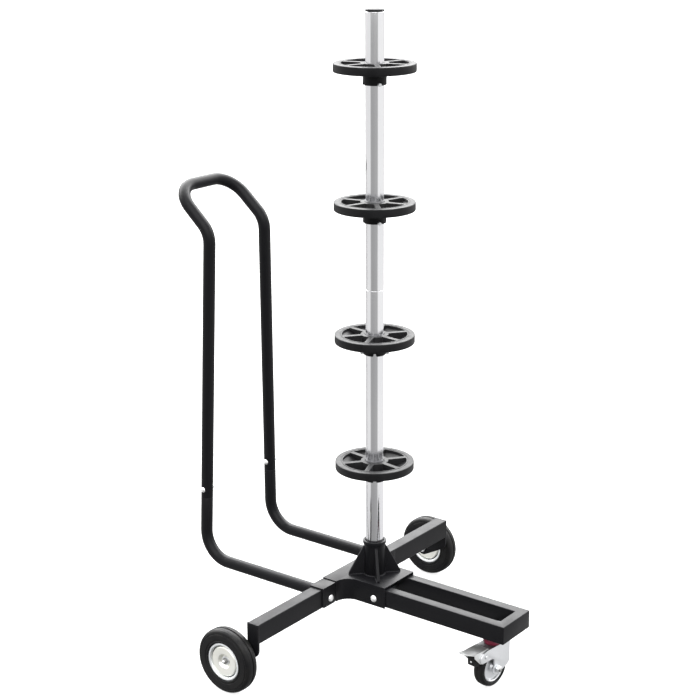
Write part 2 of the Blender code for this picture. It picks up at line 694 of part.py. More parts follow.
def build_caster_head(swivel):
    """Fixed bearing and stem bolt under the fork, and the seal that turns with the yoke."""
    ceiling = FORK_BOTTOM_Z - FIT
    bore = STEM_RADIUS + FIT
    floor = YOKE_TOP_Z + FIT
    under = SEAL_TOP_Z + FIT
    race = turned("caster_race", [
        (RACE_FLANGE, ceiling), (RACE_FLANGE, under), (RACE_NECK, under), (RACE_NECK, floor),
        (bore, floor), (bore, ceiling),
    ])
    finish(race, ZINC, at=(0, CASTER_Y, 0))
    crown_under = YOKE_TOP_Z - YOKE_SHEET
    stem = hex_bolt("caster_stem_bolt", STEM_RADIUS, 0.038, 0.0095, 0.0055)
    finish(stem, ZINC, at=(0, CASTER_Y, crown_under - FIT))
    seat = FORK_BOTTOM_Z + MOUNT_PLATE + FIT
    finish(nut("caster_stem_nut", bore, 0.0105, seat, seat + 0.010), ZINC, at=(0, CASTER_Y, 0))
    boot = arc((0, 0), SEAL_RADIUS, -90, 90, 9) + arc((-SEAL_REACH, 0), SEAL_RADIUS, 90, 270, 9)
    seal = flat("swivel_seal", [boot], floor, SEAL_TOP_Z)
    room = rod("room", RACE_NECK + 2 * FIT, floor - 0.01, SEAL_TOP_Z + 0.01)
    combine(seal, room, "DIFFERENCE")
    finish(seal, MAROON_PLASTIC, parent=swivel)


def build_yoke(swivel):
    """Pressed yoke: a round-nosed channel trimmed to its side outline."""

    def channel(name, inset, back, low, high):
        radius = YOKE_CORNER - inset
        nose = YOKE_FRONT - YOKE_CORNER
        half = YOKE_HALF - YOKE_CORNER
        plan = arc((nose, -half), radius, -90, 0, 5) + arc((nose, half), radius, 0, 90, 5)
        return flat(name, [plan + [(back, YOKE_HALF - inset), (back, inset - YOKE_HALF)]], low, high)

    yoke = channel("caster_yoke", 0, YOKE_BACK, 0.01, YOKE_TOP_Z)
    room = channel("room", YOKE_SHEET, YOKE_BACK - 0.01, 0, YOKE_TOP_Z - YOKE_SHEET)
    combine(yoke, room, "DIFFERENCE")
    axle = (-TRAIL, CASTER_RADIUS)
    side = [
        (YOKE_FRONT + 0.001, YOKE_TOP_Z + 0.001), (YOKE_FRONT + 0.001, 0.058), (0.019, 0.045),
        (0.010, 0.0366), *arc(axle, 0.012, -60, -180, 7), (-0.0286, 0.045), (-0.0290, 0.0590),
        (-0.0320, 0.0625), *arc((-0.062, 0.0685), 0.006, -90, -180, 4), (-0.068, 0.0745),
        (-0.060, 0.0815), (CROWN_BACK - 0.003, YOKE_TOP_Z + 0.001),
    ]
    stand = Matrix.Rotation(QUARTER, 4, "X")
    combine(yoke, moved(flat("outline", [side], -0.03, 0.03), turn=stand), "INTERSECT")
    width = YOKE_HALF - YOKE_SHEET
    combine(yoke, block("front", (0, -width, 0), (0.03, width, 0.062)), "DIFFERENCE")
    combine(yoke, block("back", (-0.1, -width, 0.05), (CROWN_BACK, width, 0.1)), "DIFFERENCE")
    drill(yoke, STEM_RADIUS + 2 * FIT, (0, 0, YOKE_TOP_Z), Matrix(), 0.01)
    drill(yoke, AXLE_RADIUS + FIT, (-TRAIL, 0, CASTER_RADIUS), stand, 0.03)
    drill(yoke, PIVOT_RADIUS + FIT, (PIVOT_X, 0, PIVOT_Z), stand, 0.03)
    finish(yoke, ZINC, parent=swivel)
    length = 2 * YOKE_HALF + 2 * FIT
    pin = dome_bolt("pedal_pin", PIVOT_RADIUS, length, 0.004, 0.0015)
    crosswise = Matrix.Rotation(-QUARTER, 4, "X")
    finish(pin, ZINC, parent=swivel, at=(PIVOT_X, -length / 2, PIVOT_Z), turn=crosswise)


def build_caster_wheel(swivel):
    """Tyre, rim and bush on a bolt between the yoke's cheeks."""
    toward = Matrix.Rotation(QUARTER, 4, "X")
    axle = axis_empty("caster_axle_axis", (-TRAIL, 0, CASTER_RADIUS), toward, swivel)
    build_tyre("caster_tyre", CASTER_RADIUS, CASTER_WIDTH, CASTER_RIM + FIT, axle)
    bore = CASTER_BUSH_RADIUS + FIT
    half = [
        (CASTER_RIM, 0.0095), (0.0252, 0.0095), (0.0235, 0.0055), (0.0090, 0.0065), (0.0080, 0.0110),
        (bore, 0.0110), (bore, 0.0045), (0.0225, 0.0035), (0.0262, 0.0075),
    ]
    rim = turned("caster_rim", [*[(r, -h) for r, h in half], *reversed(half)])
    finish(rim, ZINC, parent=axle)
    bush_bore = AXLE_RADIUS + FIT
    tall = YOKE_HALF - YOKE_SHEET - 2 * FIT
    finish(ring("caster_bush", CASTER_BUSH_RADIUS, bush_bore, tall), BLACK_PLASTIC, parent=axle)
    seat = YOKE_HALF + FIT
    length = 2 * seat + NUT_HEIGHT + THREAD_END
    bolt = hex_bolt("caster_axle_bolt", AXLE_RADIUS, length, NUT_RADIUS, HEX_HEAD)
    finish(bolt, ZINC, parent=axle, at=(0, 0, -seat))
    axle_nut = nut("caster_axle_nut", bush_bore, NUT_RADIUS, seat, seat + NUT_HEIGHT)
    finish(axle_nut, ZINC, parent=axle)


def build_brake(swivel):
    """Foot pedal that swings down on its pin and presses the shoe against the tyre."""
    pivot = axis_empty("brake_pivot", (PIVOT_X, 0, PIVOT_Z), parent=swivel)
    stand = Matrix.Rotation(QUARTER, 4, "X")
    skin = 0.0018
    top = 0.0135
    bend = -0.0300
    lift = 0.0070
    tip = PEDAL_TIP - PIVOT_X
    side = [
        (0.0080, top), (bend, top), (tip, top + lift), (tip - 0.0005, top + lift - skin),
        (bend - 0.0005, top - skin), (-0.0290, 0.0050), (-0.0140, -0.0105), (-0.0090, -0.0115),
        *arc((0, 0), 0.0065, -70, 20, 5), (0.0080, top - skin),
    ]
    pedal = moved(flat("brake_pedal", [side], -PEDAL_HALF, PEDAL_HALF), turn=stand)
    under = [
        (0.0200, top - skin), (bend, top - skin), (tip - 0.02, top + lift - skin + 0.0064),
        (tip - 0.02, -0.02), (0.0200, -0.02),
    ]
    width = PEDAL_HALF - skin
    combine(pedal, moved(flat("under", [under], -width, width), turn=stand), "DIFFERENCE")
    plan = [(0.02, -0.02), (0.02, 0.02), (bend, 0.02), (bend, PEDAL_HALF + WELD)]
    plan += arc((tip + 0.006, 0.0035), 0.006, 90, 180, 4)
    plan += [(x, -y) for x, y in reversed(plan[2:])]
    combine(pedal, flat("plan", [plan], -0.03, 0.04), "INTERSECT")
    drill(pedal, PIVOT_RADIUS + FIT, (0, 0, 0), stand, 0.03)
    finish(pedal, ZINC, parent=pivot, turn=stand)
    shoe_top = top - skin - FIT
    shoe = [
        (-0.0046, shoe_top), (-0.0250, shoe_top), (-0.0250, -0.0130), (-0.0190, -0.0170),
        (-0.0100, -0.0190), (-0.0060, -0.0120), (-0.0046, 0.0040),
    ]
    finish(flat("brake_shoe", [shoe], -0.007, 0.007), BLACK_RUBBER, parent=pivot, turn=stand)


def build_caster():
    """Everything that swivels under the fork's end."""
    turn = Matrix.Rotation(math.radians(CASTER_TURN), 4, "Z")
    swivel = axis_empty("caster_swivel_axis", (0, CASTER_Y, 0), turn)
    build_caster_head(swivel)
    build_yoke(swivel)
    build_caster_wheel(swivel)
    build_brake(swivel)


def main():
    clear_scene()
    bpy.context.scene.collection.children.link(bpy.data.collections.new("wheel_dolly"))
    build_hub_bracket()
    build_post_socket()
    build_post()
    build_discs()
    build_cross_tube()
    build_wheel_brackets()
    build_rear_wheels()
    build_front_frame()
    build_saddles()
    build_handle()
    build_caster()


main()
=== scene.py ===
"""Wheel dolly for a studio picture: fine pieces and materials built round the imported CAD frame."""

import json
import math

import bmesh
import bpy
from mathutils import Matrix, Vector


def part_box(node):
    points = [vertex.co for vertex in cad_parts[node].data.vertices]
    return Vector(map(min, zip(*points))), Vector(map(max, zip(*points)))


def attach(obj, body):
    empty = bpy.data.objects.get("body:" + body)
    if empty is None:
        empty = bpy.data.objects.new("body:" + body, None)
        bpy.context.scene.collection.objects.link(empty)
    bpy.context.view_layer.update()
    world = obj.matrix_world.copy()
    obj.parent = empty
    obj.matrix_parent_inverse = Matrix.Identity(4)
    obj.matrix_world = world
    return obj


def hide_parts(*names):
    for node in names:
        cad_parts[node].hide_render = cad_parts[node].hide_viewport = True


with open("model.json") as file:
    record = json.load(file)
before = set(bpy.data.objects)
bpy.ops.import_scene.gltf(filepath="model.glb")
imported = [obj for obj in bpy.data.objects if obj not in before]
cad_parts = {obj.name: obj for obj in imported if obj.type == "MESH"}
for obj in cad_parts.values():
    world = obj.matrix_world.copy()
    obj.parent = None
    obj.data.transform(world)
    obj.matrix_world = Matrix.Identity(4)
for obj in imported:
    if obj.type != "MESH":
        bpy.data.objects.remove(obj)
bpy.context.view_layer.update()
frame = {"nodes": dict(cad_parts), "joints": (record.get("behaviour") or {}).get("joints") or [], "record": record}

# Which body and which material slot each CAD node has
BODY_OF = {n: body for body, names in frame["record"]["behaviour"]["bodies"].items() for n in names}
SLOT_OF = {s["node"]: s["material_slot"] for s in frame["record"]["subparts"]}
JOINTS = {joint["name"]: joint for joint in frame["joints"]}
LABELS = ("left", "right")
SIDES = tuple(zip((-1, 1), LABELS))

# Turns that lay a piece made along +Z towards +X, -Y and +Y
QUARTER = math.pi / 2
AROUND_X = Matrix.Rotation(QUARTER, 4, "Y")
UPRIGHT = Matrix.Rotation(QUARTER, 4, "X")
LENGTHWISE = Matrix.Rotation(-QUARTER, 4, "X")

# Turn that takes a section's X, Y and height to Y, Z and X
FROM_SECTION = Matrix(((0, 0, 1, 0), (1, 0, 0, 0), (0, 1, 0, 0), (0, 0, 0, 1)))

# Clearance, merging distance, and how many steps a turned piece has
FIT = 0.0003
WELD = 0.00001
FINE = 96
SMOOTH = 128
CREASE = math.radians(32)

# Fasteners; the cross pins have the small bolts' radius
BOLT_RADIUS = 0.004
BOLT_HOLE = BOLT_RADIUS + FIT
SMALL_BOLT = 0.003
SMALL_HOLE = SMALL_BOLT + FIT
DOME_RADIUS = 0.0068
DOME_HEIGHT = 0.0042
NUT_RADIUS = 0.0075
HEX_HEAD = 0.0053


def low(node):
    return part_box(node)[0]


def high(node):
    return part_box(node)[1]


def middle(node):
    return (low(node) + high(node)) / 2


def half_size(node):
    return (high(node) - low(node)) / 2


def put(at, turn=None):
    """Matrix that turns a piece and then shifts it."""
    return Matrix.Translation(at) @ (turn or Matrix())


def about_z(degrees):
    return Matrix.Rotation(math.radians(degrees), 4, "Z")


# -------------------- materials

class Nodes:
    """A node tree with short calls that add linked nodes."""

    def __init__(self, owner):
        owner.use_nodes = True
        self.nodes, self.links = owner.node_tree.nodes, owner.node_tree.links

    def feed(self, socket, value):
        """Link a socket to an output, or set it to a plain value."""
        if isinstance(value, bpy.types.NodeSocket):
            self.links.new(value, socket)
        else:
            socket.default_value = value

    def add(self, kind, output, inputs=None, **settings):
        """Add a node and give one of its outputs."""
        node = self.nodes.new("ShaderNode" + kind)
        for name, value in settings.items():
            setattr(node, name, value)
        for socket, value in (inputs or {}).items():
            self.feed(node.inputs[socket], value)
        return node.outputs[output] if output else None

    def maths(self, operation, one, two):
        return self.add("Math", "Value", {0: one, 1: two}, operation=operation)

    def vectors(self, operation, one, two):
        output = "Value" if operation == "DOT_PRODUCT" else "Vector"
        return self.add("VectorMath", output, {0: one, 1: two}, operation=operation)


class Look(Nodes):
    """A Principled material and the nodes that give it its detail."""

    def __init__(self, name, metallic=0.0, specular=0.5):
        self.material = bpy.data.materials.new(name)
        super().__init__(self.material)
        self.shader = self.nodes["Principled BSDF"]
        self.drive("Metallic", metallic)
        self.drive("Specular IOR Level", specular)
        self.place = self.add("TexCoord", "Object")
        self.normal = None

    def drive(self, socket, value):
        self.feed(self.shader.inputs[socket], value)

    def noise(self, scale, detail=3.0, stretch=None):
        place = self.place
        if stretch:
            place = self.add("Mapping", "Vector", {"Vector": place, "Scale": stretch})
        return self.add("TexNoise", "Fac", {"Vector": place, "Scale": scale, "Detail": detail})

    def ramp(self, value, start, end, first, last):
        """Map a value between two stops to a number or a colour."""
        output = self.add("ValToRGB", "Color", {"Fac": value})
        stops = output.node.color_ramp.elements
        stops[0].position, stops[1].position = start, end
        for stop, wanted in zip(stops, (first, last)):
            stop.color = (*wanted, 1.0) if isinstance(wanted, tuple) else (wanted, wanted, wanted, 1.0)
        return output

    def roughness(self, scale, detail, least, most):
        self.drive("Roughness", self.ramp(self.noise(scale, detail), 0.3, 0.7, least, most))

    def bump(self, value, strength, distance):
        """Add one more layer of bump on top of the ones already there."""
        inputs = {"Strength": strength, "Distance": distance, "Height": value}
        if self.normal:
            inputs["Normal"] = self.normal
        self.normal = self.add("Bump", "Normal", inputs)
        self.drive("Normal", self.normal)

    def edge_wear_and_highlight(self, radius, start, end, plain, wear_and_highlight):
        """Colour that turns lighter where the surface bends sharply: partly edge wear, partly a painted edge
        highlight.
        """
        bevel = self.add("Bevel", "Normal", {"Radius": radius}, samples=4)
        real = self.add("NewGeometry", "Normal")
        return self.ramp(self.vectors("DOT_PRODUCT", bevel, real), start, end, wear_and_highlight, plain)

    def painted_lift_in_mirrors(self, colour, mirrored_light):
        """Colour that is lighter where a shiny surface mirrors it: a painted reflection."""
        glossy = self.add("LightPath", "Is Glossy Ray")
        return self.vectors("ADD", colour, self.ramp(glossy, 0.0, 1.0, (0.0, 0.0, 0.0), mirrored_light))

    def painted_shade_on_top(self, colour, share):
        """Colour that falls to a share of itself where the surface faces up: painted shade."""
        real = self.add("NewGeometry", "Normal")
        up = self.add("SeparateXYZ", "Z", {"Vector": real})
        return self.vectors("MULTIPLY", colour, self.ramp(up, 0.75, 0.97, 1.0, share))


def powder_coat(name, plain, wear_and_highlight):
    """Satin black coat with a fine orange peel, lighter along its edges: partly rubbed wear, partly a painted edge
    highlight.
    """
    look = Look(name, specular=0.10)
    look.drive("Base Color", look.edge_wear_and_highlight(0.0009, 0.90, 0.995, plain, wear_and_highlight))
    look.roughness(35.0, 3.0, 0.34, 0.42)
    look.bump(look.noise(900.0, 2.0), 0.10, 0.0004)
    look.bump(look.noise(220.0, 2.0), 0.05, 0.0010)
    return look.material


def chrome():
    """Bright plating with faint drawing streaks along the tube."""
    look = Look("chrome_plate", 1.0)
    streaks = look.noise(60.0, 4.0, (14.0, 14.0, 0.05))
    look.drive("Base Color", look.ramp(look.noise(5.0), 0.3, 0.7, (0.76, 0.76, 0.78), (0.84, 0.84, 0.85)))
    look.drive("Roughness", look.ramp(streaks, 0.3, 0.75, 0.10, 0.20))
    look.bump(streaks, 0.04, 0.0002)
    return look.material


def zinc(name, light, dark, grain=30.0, satin=0.34, top=1.0):
    """Mottled plate or bare steel; faces that look up keep only the top share of its colour, as painted shade."""
    look = Look(name, 1.0)
    colour = look.ramp(look.noise(grain), 0.35, 0.65, dark, light)
    look.drive("Base Color", look.painted_shade_on_top(colour, top) if top < 1 else colour)
    look.roughness(160.0, 5.0, satin, satin + 0.10)
    look.bump(look.noise(700.0, 3.0), 0.03, 0.0003)
    return look.material


def black_plastic():
    look = Look("moulded_black_plastic", specular=0.12)
    colour = look.ramp(look.noise(25.0), 0.35, 0.65, (0.005, 0.005, 0.0055), (0.009, 0.009, 0.0096))
    # Colour painted lighter in glossy rays only: a painted reflection of the discs in the chrome
    look.drive("Base Color", look.painted_lift_in_mirrors(colour, (0.05, 0.05, 0.052)))
    look.roughness(90.0, 4.0, 0.38, 0.50)
    look.bump(look.noise(1400.0, 3.0), 0.22, 0.0003)
    return look.material


def rubber():
    look = Look("black_rubber", specular=0.15)
    colour = look.ramp(look.noise(40.0, 5.0), 0.35, 0.7, (0.004, 0.004, 0.0048), (0.008, 0.0078, 0.0075))
    look.drive("Base Color", colour)
    look.roughness(120.0, 5.0, 0.42, 0.58)
    look.bump(look.noise(1100.0, 4.0), 0.25, 0.0003)
    return look.material


def maroon_plastic():
    look = Look("maroon_plastic")
    colour = look.ramp(look.noise(80.0), 0.35, 0.65, (0.13, 0.010, 0.026), (0.19, 0.016, 0.040))
    look.drive("Base Color", colour)
    look.roughness(120.0, 3.0, 0.38, 0.52)
    look.bump(look.noise(1200.0, 3.0), 0.15, 0.0003)
    return look.material


COAT = powder_coat("black_powder_coat", (0.0055, 0.0055, 0.0064), (0.024, 0.024, 0.027))
WELD_COAT = powder_coat("coat_over_welds", (0.020, 0.020, 0.022), (0.050, 0.050, 0.054))
CHROME = chrome()
PLASTIC = black_plastic()
RUBBER = rubber()
MAROON = maroon_plastic()
ZINC = zinc("zinc_plate", (0.745, 0.755, 0.765), (0.70, 0.715, 0.725))
# Lighter zinc for the rear rims' lips: a painted highlight
LIP_HIGHLIGHT_ZINC = zinc("zinc_painted_lip_highlight", (0.93, 0.95, 0.96), (0.90, 0.92, 0.93))
SATIN_ZINC = zinc("satin_zinc_plate", (0.86, 0.86, 0.86), (0.81, 0.81, 0.81), satin=0.55)
YELLOW_ZINC = zinc("yellowish_zinc_plate", (0.92, 0.915, 0.84), (0.88, 0.88, 0.83), 18.0)
# Yoke, pedal and caster rim: faces that look up painted darker, as the shade under the fork
YOKE_ZINC_SHADED_TOP = zinc("yoke_zinc_painted_top_shade", (0.68, 0.69, 0.705), (0.65, 0.66, 0.675), satin=0.42, top=0.22)
PEDAL_ZINC_SHADED_TOP = zinc("pedal_zinc_painted_top_shade", (0.70, 0.71, 0.71), (0.66, 0.67, 0.67), satin=0.46, top=0.42)
DULL_STEEL = zinc("dull_steel", (0.30, 0.30, 0.29), (0.22, 0.22, 0.22), 60.0)
# Darkest steel: the caster's stem bolt and nut, and painted shade in the rear rims' grooves and on the fork bolt's
# shank inside the frame
DARK_STEEL_AND_SHADE = zinc("dark_steel_and_painted_shade", (0.13, 0.14, 0.15), (0.08, 0.085, 0.09), 60.0)
BY_SLOT = {
    "black_coat": COAT, "chrome_post": CHROME, "zinc": ZINC,
    "black_plastic": PLASTIC, "black_rubber": RUBBER, "maroon_seal": MAROON,
}


# -------------------- mesh tools

def new_object(name, data):
    obj = bpy.data.objects.new(name, data)
    bpy.context.scene.collection.objects.link(obj)
    return obj


def object_from(name, bm):
    bmesh.ops.recalc_face_normals(bm, faces=bm.faces)
    mesh = bpy.data.meshes.new(name)
    bm.to_mesh(mesh)
    bm.free()
    return new_object(name, mesh)


def final_mesh(obj):
    """New mesh of a curve, or of an object with its modifiers applied."""
    bpy.context.view_layer.update()
    graph = bpy.context.evaluated_depsgraph_get()
    return bpy.data.meshes.new_from_object(obj.evaluated_get(graph), depsgraph=graph)


def bake(obj):
    """Apply an object's modifiers."""
    mesh = final_mesh(obj)
    obj.modifiers.clear()
    obj.data = mesh
    return obj


def combine(target, tool, operation):
    modifier = target.modifiers.new(operation.title(), "BOOLEAN")
    modifier.operation = operation
    modifier.solver = "EXACT"
    modifier.object = tool
    bake(target)
    bpy.data.objects.remove(tool)
    return target


def cut(target, tool):
    return combine(target, tool, "DIFFERENCE")


def moved(obj, at=(0, 0, 0), turn=None):
    """Turn and shift a mesh."""
    obj.data.transform(put(at, turn))
    return obj


def soften(obj, width, segments=2, angle=35):
    """Round an object's sharp edges."""
    bevel = obj.modifiers.new("Round", "BEVEL")
    bevel.width = width
    bevel.segments = segments
    bevel.limit_method = "ANGLE"
    bevel.angle_limit = math.radians(angle)
    bevel.use_clamp_overlap = True
    return bake(obj)


def dress(obj, material, body, slot, place=None):
    """Put a piece in its place, in its material and on its body."""
    if place:
        obj.data.transform(place)
    obj.data.materials.clear()
    obj.data.materials.append(material)
    obj.data.shade_smooth()
    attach(obj, body)


def stand_for(obj, node, material=None, place=None):
    """Finish a fine piece and show it in the CAD node's stead."""
    obj.name = node + "_fine"
    dress(obj, material or BY_SLOT[SLOT_OF[node]], BODY_OF[node], SLOT_OF[node], place)
    obj.data.set_sharp_from_angle(angle=CREASE)
    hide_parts(node)
    return obj


def block(name, corner, opposite):
    corner, opposite = Vector(corner), Vector(opposite)
    bm = bmesh.new()
    bmesh.ops.create_cube(bm, size=1.0)
    bmesh.ops.scale(bm, vec=opposite - corner, verts=bm.verts)
    bmesh.ops.translate(bm, vec=(opposite + corner) / 2, verts=bm.verts)
    return object_from(name, bm)


def lathe(name, outline, steps=FINE, flats=None):
    """Solid turned about Z from (radius, height) points, trimmed to a hexagon if flats is given."""
    bm = bmesh.new()
    turns = [2 * math.pi * i / steps for i in range(steps)]
    sixth = math.pi / 3
    reach = [flats / math.cos(a - sixth * round(a / sixth)) if flats else math.inf for a in turns]
    rings = []
    for radius, height in outline:
        if radius < WELD:
            rings.append([bm.verts.new((0, 0, height))])
        else:
            spans = [min(radius, limit) for limit in reach]
            points = [(r * math.cos(a), r * math.sin(a), height) for r, a in zip(spans, turns)]
            rings.append([bm.verts.new(point) for point in points])
    for one, two in zip(rings, rings[1:] + rings[:1]):
        for i in range(steps):
            j = (i + 1) % steps
            corners = [one[i % len(one)], one[j % len(one)], two[j % len(two)], two[i % len(two)]]
            corners = list(dict.fromkeys(corners))
            if len(corners) > 2:
                bm.faces.new(corners)
    return object_from(name, bm)


def rounded(outline, radius, steps=4, keep=()):
    """Outline with its corners rounded, apart from the ones whose numbers are kept."""
    done = []
    for i, corner in enumerate(outline):
        if i in keep:
            done.append(corner)
            continue
        here = Vector(corner)
        back = Vector(outline[i - 1]) - here
        ahead = Vector(outline[(i + 1) % len(outline)]) - here
        angle = back.angle(ahead)
        if angle > math.radians(176):
            done.append(corner)
            continue
        inset = min(radius / math.tan(angle / 2), 0.45 * back.length, 0.45 * ahead.length)
        size = inset * math.tan(angle / 2)
        centre = here + (back.normalized() + ahead.normalized()).normalized() * size / math.sin(angle / 2)
        first = here + back.normalized() * inset - centre
        last = here + ahead.normalized() * inset - centre
        sweep_angle = first.angle_signed(last)
        for k in range(steps + 1):
            a = -sweep_angle * k / steps
            c, s = math.cos(a), math.sin(a)
            done.append((centre.x + c * first.x - s * first.y, centre.y + s * first.x + c * first.y))
    return done


def mirrored(outline):
    """The other half of a symmetrical outline, in the order that closes it."""
    return [(r, -h) for r, h in reversed(outline)]


def rod(name, radius, bottom, top, steps=32, edge=0):
    outline = [(0, top), (radius, top), (radius, bottom), (0, bottom)]
    return lathe(name, rounded(outline, edge, 3, (0, 3)) if edge else outline, steps)


def ring(name, bore, radius, bottom, top, edge, steps=64):
    outline = [(radius, top), (radius, bottom), (bore, bottom), (bore, top)]
    return lathe(name, rounded(outline, edge, 3), steps)


def mesh_of_curve(curve_obj):
    bm = bmesh.new()
    bm.from_mesh(final_mesh(curve_obj))
    bmesh.ops.remove_doubles(bm, verts=bm.verts, dist=WELD)
    name = curve_obj.name
    bpy.data.objects.remove(curve_obj)
    return object_from(name, bm)


def flat(name, outlines, bottom, top):
    """Plate between two heights with one or more closed outlines in XY."""
    curve = bpy.data.curves.new(name, "CURVE")
    curve.dimensions = "2D"
    curve.fill_mode = "BOTH"
    curve.extrude = (top - bottom) / 2
    for outline in outlines:
        spline = curve.splines.new("POLY")
        spline.points.add(len(outline) - 1)
        for point, (x, y) in zip(spline.points, outline):
            point.co = (x, y, 0, 1)
        spline.use_cyclic_u = True
    plate = mesh_of_curve(new_object(name, curve))
    return moved(plate, (0, 0, (top + bottom) / 2))


def upright(name, outline, half):
    """Plate of an outline in XZ, as thick as half to both sides of Y = 0."""
    return moved(flat(name, [outline], -half, half), turn=UPRIGHT)


def arc(centre, radius, start, end, count):
    """Points of an arc between two angles in degrees."""
    steps = [math.radians(start + (end - start) * i / (count - 1)) for i in range(count)]
    return [(centre[0] + radius * math.cos(a), centre[1] + radius * math.sin(a)) for a in steps]


def rounded_corner(before, corner, after, radius, count):
    """Points of a fillet between two straight runs of a 3-D path."""
    back = (before - corner).normalized()
    ahead = (after - corner).normalized()
    half = back.angle(ahead) / 2
    inset = radius / math.tan(half)
    centre = corner + (back + ahead).normalized() * radius / math.sin(half)
    start = (corner + back * inset - centre).normalized()
    end = (corner + ahead * inset - centre).normalized()
    return [centre + start.slerp(end, i / count) * radius for i in range(count + 1)]


def sweep(name, stations, radius, wall=0, resolution=8, closed=False):
    """Tube or solid rod along a path; each station is a point and its radius factor."""
    curve = bpy.data.curves.new(name, "CURVE")
    curve.dimensions = "3D"
    curve.bevel_depth = radius
    curve.bevel_resolution = resolution
    curve.use_fill_caps = not (wall or closed)
    spline = curve.splines.new("POLY")
    spline.use_cyclic_u = closed
    spline.points.add(len(stations) - 1)
    for point, (place, factor) in zip(spline.points, stations):
        point.co = (*place, 1)
        point.radius = factor
    tube = mesh_of_curve(new_object(name, curve))
    if wall:
        shell = tube.modifiers.new("Wall", "SOLIDIFY")
        shell.thickness = wall
        shell.offset = -1
        bake(tube)
    return tube


def drill(target, radius, at, turn, half_length):
    tool = moved(rod("drill", radius, -half_length, half_length), at, turn)
    return cut(target, tool)


def threaded(radius, start, end, pitch=0.00125):
    """Outline of a bolt's threaded end, from its tip down to where the thread starts."""
    chamfer, depth = 0.0008, 0.0005
    points = [(0, end), (radius - chamfer, end), (radius, end - chamfer)]
    height = end - 0.0012
    while height - pitch > start:
        points += [(radius, height), (radius - depth, height - pitch / 2)]
        height -= pitch
    return points


def hexagon(radius, bottom, top, chamfer=0.0008):
    """Outline of a hexagon with its corners turned down, and its half width over the flats."""
    flats = radius * math.cos(math.pi / 6)
    face = 0.96 * flats
    return [(face, top), (radius, top - chamfer), (radius, bottom + chamfer), (face, bottom)], flats


def nut(bore, radius, bottom, top, collar):
    """Hexagon lock nut with a round nylon collar on top."""
    sides, flats = hexagon(radius, bottom, top - collar)
    inner = radius * 0.78
    crown = rounded([(bore, top), (inner, top), (inner, top - collar)], 0.0007, 4, (0, 2))
    return lathe("nut", [*crown, *sides, (bore, bottom)], 48, flats)


def dome_bolt(radius, length, head_radius, head_height, thread):
    """Bolt along +Z with the underside of its domed head at Z = 0."""
    dome = [(head_radius * -x, head_height * y) for x, y in arc((0, 0), 1.0, 188, 270, 10)]
    rim = [(head_radius, -0.0001), (head_radius, -0.0005)]
    shank = [*threaded(radius, length - thread, length), (radius, 0)]
    return lathe("bolt", [*shank, *rim, *dome[:-1], (0, -head_height)], 48)


def hex_bolt(shank, head_radius, head_height):
    """Bolt along +Z from its shank's outline, with the underside of its hexagon at Z = 0."""
    sides, flats = hexagon(head_radius, -head_height, 0)
    return lathe("bolt", [*shank, (shank[-1][0], 0), *sides, (0, -head_height)], 48, flats)


# -------------------- base frame

POST = Vector((*middle("lower_post").xy, 0))
AT_POST = Matrix.Translation(POST)
PLATE_TOP = high("hub_bracket").z
FORK_BOLT = middle("fork_bolt")
GUSSET_TURNS = (45, 135, 225, 315)


def build_hub_bracket():
    """T-shaped cover with skirts, open where the tubes enter it."""
    box_low, box_high = low("hub_bracket") - POST, high("hub_bracket") - POST
    wing_x, wing_back, nose_front = box_high.x, box_high.y, box_low.y
    sheet, wing_front, nose_x = 0.002, 0.0353, 0.0482
    bend = wing_x - nose_x

    def tee(name, inset, reach, front, bottom, top):
        side = [(reach, wing_back - inset)]
        side += [(reach, wing_front + inset)] if reach > wing_x else []
        side += arc((wing_x, wing_front - bend), bend + inset, 90, 180, 26)
        side.append((nose_x - inset, front))
        return flat(name, [side + [(-x, y) for x, y in reversed(side)]], bottom, top)

    cover = tee("cover", 0, wing_x, nose_front, box_low.z, PLATE_TOP)
    room = tee("room", sheet, wing_x + 0.02, nose_front - 0.02, 0.08, PLATE_TOP - sheet)
    cut(cover, room)
    drill(cover, BOLT_HOLE, (0, FORK_BOLT.y - POST.y, FORK_BOLT.z), AROUND_X, 0.06)
    stand_for(soften(cover, 0.0009, 3), "hub_bracket", place=AT_POST)


def build_post_socket():
    """Sleeve with a collar at its mouth and four gussets on the diagonals."""
    bottom, top = low("post_socket").z, high("post_socket").z
    bore, outer, collar = 0.0173, 0.02075, 0.0225
    lip, mouth = top - 0.006, 0.0014
    section = rounded([
        (collar, top), (collar, lip), (outer, lip - 0.002), (outer, bottom), (bore, bottom),
        (bore, top - mouth), (bore + mouth, top),
    ], 0.0010, 4, (3, 4, 5))
    sleeve = lathe("sleeve", section, SMOOTH)
    root, reach, toe, peak = 0.019, 0.0506, 0.003, 0.2010
    web = rounded([
        (root, bottom), (reach, bottom), (reach, bottom + toe), (0.0215, peak), (root, peak),
    ], 0.0015, 4, (0, 1, 4))
    for turn in GUSSET_TURNS:
        gusset = flat("gusset", [web], -0.0025, 0.0025)
        combine(sleeve, moved(gusset, turn=about_z(turn) @ UPRIGHT), "UNION")
    stand_for(soften(sleeve, 0.0006, 2, 40), "post_socket", place=AT_POST)


def bead(name, path, radius, node, place=None, closed=False):
    """Weld bead: a half-sunk rod whose girth swells and shrinks along its run."""
    ripple = 0.0016
    stations = []
    for start, end in zip(path, path[1:]):
        count = max(2, int((end - start).length / ripple))
        for i in range(count):
            wave = 1 + 0.14 * math.sin(len(stations) * 2.2) + 0.05 * math.sin(len(stations) * 0.7)
            stations.append((start.lerp(end, i / count), wave))
    if not closed:
        stations.append((path[-1], 1.0))
    weld = sweep(name, stations, radius, resolution=3, closed=closed)
    dress(weld, WELD_COAT, BODY_OF[node], SLOT_OF[node], place)


